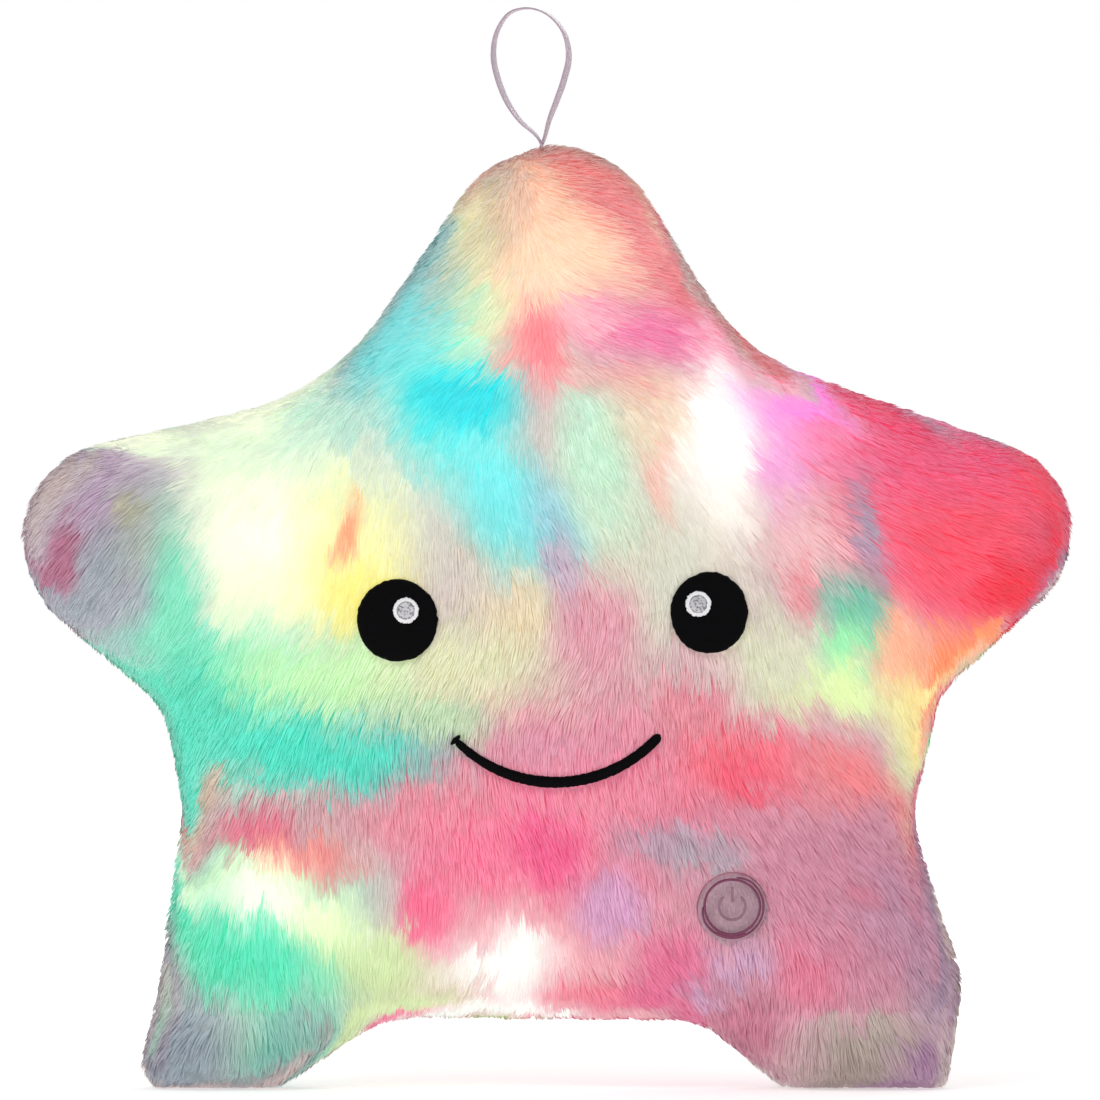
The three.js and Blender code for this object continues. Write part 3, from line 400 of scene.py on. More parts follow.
def grid_faces(rows: int, columns: int, closed: bool = True) -> Array:
    """Quads between rows of corners.

    Args:
        rows: How many rows.
        columns: Corners in each row.
        closed: Whether each row runs round to its start.

    Returns:
        Corner numbers, four to a face.
    """
    steps = np.arange(columns if closed else columns - 1)
    row, column = np.meshgrid(np.arange(rows - 1), steps, indexing="ij")
    after = (column + 1) % columns
    first = row * columns
    quads = [first + column, first + after, first + columns + after, first + columns + column]
    return np.stack([q.ravel() for q in quads], axis=1)


def tube(
    path: Array, across: Array, width: Array, height: Array,
    sides: int = 12, power: float = 1, closed: bool = False,
) -> tuple[Array, list[Array]]:
    """Sweeps an oval along a path.

    Args:
        path: Places along the middle.
        across: The direction of the oval's width at each place.
        width: Half the width at each place.
        height: Half the height at each place.
        sides: Corners round the oval.
        power: Below 1, the oval is squarer.
        closed: Whether the path ends at its start.

    Returns:
        Corners and faces, with the ends capped if the path is open.
    """
    along = np.roll(path, -1, 0) - np.roll(path, 1, 0)
    if not closed:
        along[0], along[-1] = path[1] - path[0], path[-1] - path[-2]
    along = unit(along)
    across = unit(across - along * (across * along).sum(1, keepdims=True))
    up = np.cross(along, across)
    wide, tall = squared(circle(sides), power)
    wide, tall = wide[:, None], tall[:, None]
    width, height = (np.broadcast_to(size, len(path))[:, None, None] for size in (width, height))
    rings = path[:, None] + across[:, None] * wide * width + up[:, None] * tall * height
    corners = rings.reshape(-1, 3)
    faces = [grid_faces(len(path), sides)]
    last = (len(path) - 1) * sides
    round_ = np.arange(sides)
    if closed:
        after = (round_ + 1) % sides
        faces.append(np.stack([last + round_, last + after, after, round_], axis=1))
    else:
        faces += [round_[None, ::-1], last + round_[None]]
    return corners, faces


class Grain:
    """Soft noise over a plane, in octaves."""

    cells = 64
    shift = 17.3

    def __init__(self, seed: int, size: float, octaves: int = 2) -> None:
        """Draws the noise.

        Args:
            seed: Fixes the pattern.
            size: The width of its largest lumps.
            octaves: How many layers it has, each half as coarse and half as strong.
        """
        self.size = size
        draw = np.random.default_rng(seed)
        self.layers = [draw.uniform(-1, 1, (self.cells, self.cells)) for _ in range(octaves)]

    def at(self, across: Array, up: Array) -> Array:
        """Looks the noise up.

        Args:
            across: Places along the plane's first axis.
            up: Places along its second axis.

        Returns:
            Noise from about -1 to 1 at each place.
        """
        total = np.zeros(np.shape(across))
        for order, layer in enumerate(self.layers):
            finer = 2**order
            x, y = (value / self.size * finer + self.shift * (order + 1) for value in (across, up))
            column, row = np.floor(x).astype(int), np.floor(y).astype(int)
            fx, fy = (share * share * (3 - 2 * share) for share in (x - column, y - row))
            left, right, low, high = (
                place % self.cells for place in (column, column + 1, row, row + 1)
            )
            under = layer[low, left] * (1 - fx) + layer[low, right] * fx
            over = layer[high, left] * (1 - fx) + layer[high, right] * fx
            total += (under * (1 - fy) + over * fy) / finer
        return total


@dataclass(frozen=True)
class StarForm:
    """The star's outline and the swell of its stuffed panels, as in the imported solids."""

    width: float = 400
    height: float = 363
    depth: float = 120
    stand_cut: float = 0.5
    foot_zone: float = 35
    foot_fullness: float = 1.6
    seam_half: float = 0.15
    crown: float = 1.2
    centre_height: float = 171
    pad_middle: float = 140
    pad_half_length: float = 62
    pad_half_height: float = 30
    pad_level: float = 55.9
    pad_blend: float = 0.5
    field_points: int = 720
    block: int = 4000
    corner_points: int = 160
    corner_shares: Sequence[tuple[float, float, float]] = (
        (0.009, 1.096, 0.105), (0.184, 0.783, 0.191), (0.584, 0.627, 0.092),
        (0.379, 0.4185, 0.057), (0.349, 0.282, 0.143), (0.401, 0.108, 0.105), (0.378, 0, 0.019),
        (0.231, 0, 0.057), (0.145, 0.0715, 0.076), (-0.156, 0.0747, 0.105), (-0.266, 0, 0.057),
        (-0.39, 0, 0.027), (-0.351, 0.294, 0.153), (-0.371, 0.403, 0.057), (-0.6225, 0.637, 0.1),
        (-0.208, 0.74, 0.248),
    )

    def outline(self, points: int) -> Array:
        """Rounds the corners where the star's straight sides meet.

        Args:
            points: How many places are wanted.

        Returns:
            Evenly spaced places round the seam.
        """
        shares = np.array(self.corner_shares)
        places = shares[:, :2] * np.array([self.width, self.height]) - np.array([0, self.stand_cut])
        arcs = []
        for i, place in enumerate(places):
            radius = self.corner_shares[i][2] * self.width
            before, after = unit(places[i - 1] - place), unit(places[(i + 1) % len(places)] - place)
            half = math.acos(before @ after) / 2
            middle = place + unit(before + after) * radius / math.sin(half)
            ends = (place + side * radius / math.tan(half) - middle for side in (before, after))
            start, end = (math.atan2(y, x) for x, y in ends)
            sweep = math.remainder(end - start, 2 * math.pi)
            turn = start + sweep * np.linspace(0, 1, self.corner_points)
            arcs.append(middle + radius * round_ways(turn))
        dense = np.concatenate(arcs + [arcs[0][:1]])
        run = np.concatenate([[0], np.cumsum(np.linalg.norm(np.diff(dense, axis=0), axis=1))])
        spaced = np.linspace(0, run[-1], points, endpoint=False)
        return np.stack([np.interp(spaced, run, dense[:, axis]) for axis in (0, 1)], 1)

    def inside(self, places: Array) -> Array:
        """Sums the nearness of every piece of the seam, which smooths its corners away.

        Args:
            places: Places in the plane of the face.

        Returns:
            A smooth measure of how far inside the seam each place lies.
        """
        seam = self.outline(self.field_points)
        step = np.linalg.norm(seam - np.roll(seam, 1, 0), axis=1).sum() / self.field_points
        found = []
        for part in np.array_split(places, max(1, len(places) // self.block)):
            square = ((part[:, None] - seam[None]) ** 2).sum(2)
            nearness = (step / np.maximum(square, SMALL) ** 2).sum(1)
            found.append(np.cbrt(math.pi / 2 / nearness))
        return np.concatenate(found)

    def reach(self, places: Array, inset: float) -> Array:
        """Depth under a surface that lies under the outer one by an inset, below 0 outside it."""
        blunt = 1 + self.foot_fullness * (1 - smooth(places[:, 1], 0, self.foot_zone))
        return self.inside(places) * blunt - inset

    def swell(self, places: Array, inset: float) -> Array:
        """Half the cushion's thickness at each place, under the outer surface by an inset."""
        full = self.inside(np.array([[0, self.centre_height]]))[0]
        share = np.clip(self.reach(places, inset) / (full - inset), 0, 1)
        return (self.depth / 2 - inset) * np.sqrt(share * (self.crown - (self.crown - 1) * share))


@dataclass(frozen=True)
class Shell:
    """A panel's surface under the outer one, as rays from a middle to the seam."""

    form: StarForm
    side: Side
    inset: float = 3.2
    rays: int = 480
    rings: int = 64
    dents: Grain = Grain(4, 46, 2)
    dent_depth: float = 0.7
    dent_zone: Pair = (12, 35)
    pad_corner: float = 4
    seam_crowding: float = 1.9
    edge_points: int = 2400
    halvings: int = 16
    pinhole_half: float = 0.3

    def middle(self) -> Array:
        """The place that the rays start from."""
        front = self.side is Side.FRONT
        return np.array([0, self.form.centre_height if front else self.form.pad_middle])

    def pinhole(self, directions: Array) -> Array:
        """The edge of a hole too small to see, in each direction from the middle."""
        return self.middle() + directions * self.pinhole_half

    def level(self, places: Array, inset: Optional[float] = None) -> Array:
        """Measures the swell, flattened round the zip on the back, with shallow dents.

        Args:
            places: Places in the plane of the face.
            inset: How far under the outer surface, if not the cloth's own.

        Returns:
            Height over the seam plane at each place.
        """
        inset = self.inset if inset is None else inset
        height = self.form.swell(places, inset)
        if self.side is Side.BACK:
            offset = places - self.middle()
            size = np.array([self.form.pad_half_length, self.form.pad_half_height])
            rounded = (np.abs(offset / size) ** self.pad_corner).sum(1)
            core = np.maximum(rounded, SMALLER) ** (1 / self.pad_corner)
            edge = self.edge_reach(unit(offset)) / np.maximum(np.linalg.norm(offset, axis=1), SMALL)
            share = np.clip((core - 1) / np.maximum(core * edge - 1, SMALL), 0, 1)
            blend = smooth(share, 0, self.form.pad_blend)
            height = (self.form.pad_level - inset) * (1 - blend) + height * blend
        dent = self.dents.at(places[:, 0], places[:, 1]) * self.dent_depth
        return height + dent * smooth(height, *self.dent_zone)

    def edge_reach(self, directions: Array) -> Array:
        """Finds the seam along rays.

        Args:
            directions: The rays' directions, of length 1.

        Returns:
            How far the seam is from the middle in each direction.
        """
        seam = self.form.outline(self.edge_points) - self.middle()
        turn = np.arctan2(seam[:, 1], seam[:, 0])
        order = np.argsort(turn)
        wanted = np.arctan2(directions[:, 1], directions[:, 0])
        far = np.linalg.norm(seam, axis=1)
        return np.interp(wanted, turn[order], far[order], period=2 * math.pi)

    def place(self, places: Array, lift: float = 0, inset: Optional[float] = None) -> Array:
        """The points of the surface over places in the plane of the face."""
        depth = self.side.value * (self.form.seam_half + self.level(places, inset) + lift)
        return np.stack([places[:, 0], depth, places[:, 1]], 1)

    def normal(self, places: Array, step: float = 0.6) -> Array:
        """Works out how the surface leans.

        Args:
            places: Places in the plane of the face.
            step: How far apart its heights are compared.

        Returns:
            The outward directions of the surface over those places.
        """
        ways = ((1, 0), (-1, 0), (0, 1), (0, -1))
        east, west, north, south = (self.level(places + np.array(way) * step) for way in ways)
        outward = np.full(len(places), self.side.value * 2 * step)
        return unit(np.stack([west - east, outward, south - north], 1))

    def edge(self) -> Array:
        """Halves its way along each ray to the place where the surface meets the seam.

        Returns:
            One place to a ray.
        """
        seam = self.form.outline(self.rays)
        rays = seam - self.middle()
        low, high = np.full(self.rays, 0.5), np.ones(self.rays)
        for _ in range(self.halvings):
            share = (low + high) / 2
            within = self.form.reach(self.middle() + rays * share[:, None], self.inset) > 0
            low, high = np.where(within, share, low), np.where(within, high, share)
        return self.middle() + rays * low[:, None]

    def loft(self, hole: Callable[[Array], Array]) -> tuple[Array, Array]:
        """Lofts the surface from the seam to a hole.

        Args:
            hole: Gives the hole's edge in each direction from the middle.

        Returns:
            Corners and faces.
        """
        edge = self.edge()
        inner = hole(unit(edge - self.middle()))
        rows = []
        for share in (1 - np.linspace(0, 1, self.rings) ** self.seam_crowding):
            row = self.place(inner + (edge - inner) * share)
            if share == 1:
                row[:, 1] = self.side.value * self.form.seam_half
            rows.append(row)
        faces = grid_faces(self.rings, self.rays)
        return np.concatenate(rows), faces if self.side is Side.FRONT else faces[:, ::-1]


# Dye and fur


@dataclass(frozen=True)
class DyePatch:
    """One cloud of dye, as an oval with soft edges."""

    name: str
    across: float
    up: float
    half_width: float
    half_height: float
    turn: float
    colour: str
    strength: float

    def share(self, places: Array, soft: Pair = (0.3, 1.45)) -> Array:
        """Measures the oval's cover.

        Args:
            places: Places in the plane of the face.
            soft: Where its edge starts and ends, as shares of the oval.

        Returns:
            How strongly it colours each place, from 0 to its strength.
        """
        angle = math.radians(self.turn)
        x, y = (places - np.array([self.across, self.up])).T
        wide = (x * math.cos(angle) + y * math.sin(angle)) / self.half_width
        tall = (y * math.cos(angle) - x * math.sin(angle)) / self.half_height
        return self.strength * (1 - smooth(np.hypot(wide, tall), *soft))


# The near-white patches where the lamps sit (white right, white right top, cream left, white left,
# white low, white middle) are partly dye and partly painted lamp glow.
DYE_PATCHES = tuple(DyePatch(*row) for row in (
    ("crown", -1, 326, 57, 42, 0, "#facdb4", 1),
    ("middle", 20, 202, 57, 42, 0, "#e2decc", 1),
    ("left shoulder", -106, 225, 73, 46, 15, "#e2f4e2", 1),
    ("left arm", -168, 202, 42, 46, 0, "#baaaba", 1),
    ("right arm", 146, 217, 57, 46, -15, "#f47496", 1),
    ("left side", -122, 152, 53, 34, 0, "#8ce8cd", 1),
    ("belly", 20, 110, 92, 46, 0, "#ec8ca5", 1),
    ("lower left", -110, 60, 61, 38, -20, "#96e8c8", 1),
    ("lower middle", -11, 53, 57, 31, 0, "#eeaab4", 1),
    # Partly dye, partly painted shade: darkened like the shaded lower right of the star.
    ("lower right", 111, 72, 65, 57, 0, "#d28ca4", 1),
    ("tip left", -36, 337, 29, 23, 45, "#bac4c4", 0.9),
    ("tip", -7, 356, 23, 8, 0, "#cebeb6", 0.8),
    ("tip right", 25, 343, 21, 15, -35, "#f49e96", 0.9),
    ("coral edge", 41, 320, 16, 36, 33, "#f2969c", 0.95),
    ("coral edge low", 56, 301, 11, 19, 30, "#ee828c", 0.7),
    ("cream", -1, 318, 29, 21, 0, "#fcdec2", 0.95),
    ("sage", -30, 326, 17, 12, 30, "#d0cea8", 0.7),
    ("yellow green", -27, 293, 15, 27, -5, "#e6f0c4", 0.9),
    ("coral spot", -4, 286, 12, 14, 0, "#fa8a94", 0.95),
    ("salmon", 20, 269, 29, 9, -5, "#faa0a4", 0.85),
    ("orchid", 39, 290, 32, 15, -5, "#f284b2", 0.95),
    ("pale pink", 16, 294, 11, 8, 0, "#f8c4ce", 0.7),
    ("rose white", 64, 284, 15, 23, -30, "#fabed0", 0.85),
    ("aqua shoulder", -60, 288, 28, 32, -25, "#84e4e4", 0.95),
    ("aqua edge", -67, 312, 11, 23, -35, "#96c8c8", 0.7),
    ("aqua", -36, 259, 24, 29, 25, "#6ef0ec", 0.95),
    ("cyan", -31, 263, 18, 11, 0, "#00dfe6", 1),
    ("aqua low", -19, 228, 16, 30, 28, "#7aeeee", 0.95),
    ("light blue", -0, 217, 13, 23, 22, "#a6d6e0", 0.9),
    ("mint", 17, 242, 17, 32, 5, "#cef2da", 0.9),
    ("sand", 38, 255, 16, 20, 0, "#f2dec4", 0.85),
    ("peach streak", 41, 234, 5, 17, 0, "#f8c2b4", 0.7),
    ("lilac streak", 4, 196, 10, 18, 20, "#c8b8cc", 0.85),
    ("white right", 64, 244, 19, 34, 0, "#fcf6f0", 1),
    ("white right top", 66, 265, 9, 15, 0, "#fcf0f0", 0.9),
    ("magenta", 96, 261, 24, 18, -15, "#f890e2", 0.95),
    ("lilac right", 90, 236, 13, 19, 0, "#f2a8e2", 0.85),
    ("pink right", 115, 244, 23, 15, -10, "#f88cb4", 0.85),
    ("pale rose", 99, 209, 17, 21, 0, "#f2c8ca", 0.9),
    ("rose spot", 95, 192, 8, 13, 0, "#ec8c98", 0.6),
    ("hot pink", 150, 232, 34, 13, -15, "#f25c88", 0.85),
    ("red", 159, 202, 30, 24, -20, "#f24a66", 0.95),
    ("deep red", 177, 186, 17, 16, 30, "#ee1638", 0.95),
    ("grey blue edge", 153, 253, 36, 9, -22, "#b6b4ca", 0.95),
    ("grey tip", 191, 228, 10, 24, 15, "#ac96ac", 0.9),
    ("plum edge", 196, 196, 5, 19, 0, "#965a78", 0.8),
    ("grey streak", 121, 215, 6, 18, 8, "#b0a8be", 0.85),
    ("crimson edge", 184, 208, 11, 26, 8, "#d64a6e", 0.7),
    ("orange", 151, 167, 18, 13, 20, "#fe9660", 0.95),
    ("peach", 130, 171, 11, 21, 0, "#fcbe96", 0.85),
    ("yellow", 144, 148, 18, 13, 10, "#fceaa0", 0.95),
    ("jade", 114, 186, 13, 15, 0, "#74ccb0", 0.95),
    ("green", 110, 168, 15, 13, 0, "#9ef0b6", 0.95),
    ("lime", 108, 152, 25, 11, -12, "#e2f6b2", 0.9),
    ("cream waist", 140, 127, 12, 17, 0, "#dee4b8", 0.9),
    ("cheek green", 82, 167, 18, 17, 0, "#dee2c4", 0.8),
    ("mint shoulder", -91, 253, 32, 13, 18, "#cef0e2", 0.85),
    ("cream left", -109, 217, 38, 35, 0, "#f0fade", 0.95),
    ("white left", -110, 208, 25, 22, 0, "#fbfde6", 0.7),
    ("cream low left", -108, 188, 26, 15, 0, "#f4fad4", 0.8),
    ("yellow left", -75, 202, 24, 31, 0, "#faf6b0", 0.9),
    ("yellow eye", -67, 186, 16, 13, 0, "#f8f080", 0.85),
    ("coral fleck", -75, 212, 5, 14, -14, "#faa67c", 0.9),
    ("mauve upper", -162, 232, 31, 14, 22, "#c8b0c8", 0.9),
    ("plum tip", -187, 204, 10, 18, 0, "#bc708e", 0.9),
    ("plum low", -177, 177, 11, 15, 40, "#ba8296", 0.8),
    ("grey left", -167, 196, 14, 19, 0, "#a6b0b8", 0.85),
    ("sage arm", -153, 214, 13, 20, 0, "#b4c2b4", 0.7),
    ("olive fleck", -158, 223, 5, 5, 0, "#beba96", 0.6),
    ("jade left", -142, 186, 10, 35, 5, "#80e6c4", 0.9),
    ("teal left", -130, 152, 24, 16, 20, "#5cdec0", 0.95),
    ("pale lime", -80, 159, 42, 14, -6, "#d2f6be", 0.9),
    ("teal", -88, 132, 49, 14, -4, "#44e4cc", 0.95),
    ("cream middle", -30, 162, 35, 20, 0, "#e8eac4", 0.9),
    ("cheek lime", -41, 142, 27, 8, -10, "#c4e8be", 0.8),
    ("peach cheek", -11, 183, 15, 13, 0, "#f0deb8", 0.7),
    ("rose brow", 20, 177, 19, 24, 0, "#e8a2b4", 0.9),
    ("grey brow", 46, 202, 13, 19, 0, "#deded0", 0.8),
    ("mauve cheek", 54, 162, 18, 10, 0, "#debabe", 0.8),
    ("red cheek", 74, 128, 25, 17, 0, "#f27084", 0.95),
    ("red fleck", 71, 121, 11, 8, 0, "#f05c7a", 0.8),
    ("rose chin", 4, 131, 29, 10, 0, "#e0a0b6", 0.7),
    ("pink by smile", 55, 148, 20, 9, 0, "#e8909f", 0.9),
    ("coral right", 115, 121, 23, 14, -10, "#f4868c", 0.85),
    ("pink chin", -49, 110, 27, 15, 10, "#ec94a6", 0.85),
    ("rose left", -144, 121, 13, 15, 0, "#d8a8a8", 0.8),
    ("orange left", -131, 116, 8, 10, 30, "#faa084", 0.85),
    ("dusty band", -95, 108, 37, 8, 0, "#d4a0a8", 0.75),
    ("coral left", -95, 94, 26, 8, -16, "#f88888", 0.8),
    ("raspberry left", -107, 105, 13, 6, 0, "#e66e8c", 0.85),
    ("peach under coral", -103, 90, 15, 6, -10, "#fdd0b8", 0.9),
    ("hot pink middle", -19, 93, 35, 18, 0, "#f680a4", 0.95),
    ("raspberry", -1, 93, 13, 13, 0, "#ee5892", 0.85),
    ("pink tongue", -45, 70, 10, 17, -5, "#f6709a", 0.95),
    ("cream band", -95, 72, 42, 13, -22, "#eeface", 0.95),
    ("white low", -109, 74, 18, 12, -10, "#f6fdec", 0.95),
    ("lime low", -61, 49, 27, 15, -15, "#d6eab2", 0.9),
    ("teal edge low", -140, 79, 10, 24, 0, "#7ceece", 0.9),
    ("teal low", -114, 50, 28, 14, -8, "#56eac4", 0.95),
    ("grey left foot", -139, 18, 20, 20, 0, "#9eaab6", 0.95),
    ("mauve left foot", -148, 22, 7, 19, 0, "#b098ac", 0.7),
    ("sea left foot", -95, 20, 27, 13, 10, "#7cc6b6", 0.9),
    ("white middle", -18, 49, 25, 16, 0, "#f4fbf4", 1),
    ("pink hem", -30, 24, 56, 9, 2, "#ee8a9c", 0.95),
    ("lilac low", 22, 74, 16, 15, 0, "#daa6ce", 0.9),
    ("hot pink low", 47, 49, 20, 17, 30, "#e4709a", 0.95),
    ("pink hem right", 27, 34, 34, 8, 0, "#f0869c", 0.85),
    ("grey blue low", 41, 98, 22, 8, -5, "#bea6b8", 0.9),
    ("grey over ring", 58, 90, 16, 8, 10, "#b4acb6", 0.9),
    ("lilac under ring", 71, 51, 16, 7, 0, "#cea6c6", 0.85),
    ("ring ground", 70, 70, 13, 13, 0, "#cea0ae", 0.8),
    ("rose beside ring", 96, 49, 15, 15, 0, "#e6809e", 0.85),
    ("rose right", 118, 78, 8, 6, 0, "#e26c86", 0.85),
    ("mauve right", 136, 72, 25, 24, 0, "#c496b0", 0.8),
    ("grey right", 146, 49, 13, 28, 0, "#a68ea8", 0.85),
    ("sage right", 122, 21, 22, 11, -6, "#b4a99e", 0.9),
    # Painted shade: the two patches below darken the bottoms of the feet where they meet the floor.
    ("dusk under right foot", 112, 5, 36, 9, 0, "#93867c", 0.75),
    ("dusk under left foot", -118, 4, 36, 8, 0, "#7e9296", 0.6),
    ("purple right", 146, 10, 13, 11, 0, "#ac82a6", 0.9),
    # Partly dye, partly painted shade: darkened like the shaded lower right of the star.
    ("pink inner right", 76, 31, 20, 11, -35, "#c6748e", 0.85),
))

# Where the lamps shine through the fur: white light is brightest, coloured light gentler.
GLOW_PATCHES = tuple(DyePatch(*row) for row in (
    ("left arm lamp", -104, 205, 66, 56, 0, "#fffff0", 0.95),
    ("upper lamp", 66, 246, 40, 58, 0, "#ffffff", 0.95),
    ("bottom lamp", -16, 52, 44, 30, 0, "#f4fff6", 0.78),
    ("left foot lamp", -98, 74, 62, 32, -15, "#f4ffe8", 0.75),
    ("right side lamp", 112, 160, 52, 44, 0, "#f0ffd0", 0.6),
    ("red side lamp", 155, 204, 44, 44, 0, "#ffc0c0", 0.45),
    ("magenta lamp", 96, 258, 36, 32, 0, "#ffd0ff", 0.55),
    ("upper left lamp", -28, 256, 52, 58, 0, "#b0ffff", 0.62),
    ("crown light", 6, 300, 54, 44, 0, "#ffe8d0", 0.55),
))


@dataclass(frozen=True)
class Dye:
    """The tie-dye of one panel."""

    patches: Sequence[DyePatch] = DYE_PATCHES
    glows: Sequence[DyePatch] = GLOW_PATCHES
    warp: float = 4
    side_warp: float = 42
    side_depth: Pair = (3, 30)
    glow: float = 1
    glow_edge: Pair = (0, 1.35)
    ground: str = "#d8c8c4"

    def warped(self, points: Array) -> Array:
        """Moves places by noise, more so round the sides, where the dye is broken up.

        Args:
            points: Points in space.

        Returns:
            Their places seen from the front, moved.
        """
        across, depth, up = points.T
        near = [Grain(seed, 22, 3).at(across, up) for seed in (21, 22)]
        far = [Grain(seed, 40, 2).at(across + depth * 1.3, up - depth) for seed in (23, 24)]
        side = (self.side_warp * (1 - smooth(np.abs(depth), *self.side_depth)))[:, None]
        return points[:, (0, 2)] + np.stack(near, 1) * self.warp + np.stack(far, 1) * side

    def colours(self, points: Array) -> Array:
        """Lays one patch over the other.

        Args:
            points: Points in space.

        Returns:
            The dye at each, as linear red, green, blue and 1.
        """
        moved = self.warped(points)
        screen = np.tile(written(self.ground), (len(points), 1))
        for patch in self.patches:
            share = patch.share(moved)[:, None]
            screen = screen * (1 - share) + written(patch.colour) * share
        return np.concatenate([in_light(screen), np.ones((len(points), 1))], 1)

    def glowing(self, points: Array) -> Array:
        """Adds up the lamps' light.

        Args:
            points: Points in space.

        Returns:
            How much light comes through at each, from 0 to 1.
        """
        moved = self.warped(points)
        dark = np.ones(len(points))
        for patch in self.glows:
            dark *= 1 - patch.share(moved, self.glow_edge) * self.glow
        return 1 - dark

    def values(self, points: Array) -> dict[str, Array]:
        """The dye and the glow that corners carry."""
        return {"dye": self.colours(points), "glow": self.glowing(points)}


# How much of each strand lies free, from where it starts and which way it runs.
Reach = Callable[[Array, Array, Draw], Array]


def meets(starts: Array, runs: Array, middle: Sequence[float], radius: Array) -> Array:
    """The share of each run at which it crosses a circle, or 1 if it doesn't.

    Args:
        starts: Where the runs start.
        runs: Where they lead, from there.
        middle: The circle's middle.
        radius: Its radius, for each run.

    Returns:
        Shares from 0 to 1.
    """
    offset = starts - np.array(middle)
    a = np.maximum((runs**2).sum(1), SMALLER)
    b = (runs * offset).sum(1)
    c = (offset**2).sum(1) - radius**2
    root = np.sqrt(np.maximum(b * b - a * c, 0))
    share = np.where(c > 0, (-b - root) / a, (-b + root) / a)
    return np.where((b * b > a * c) & (share > 0) & (share < 1), share, 1)


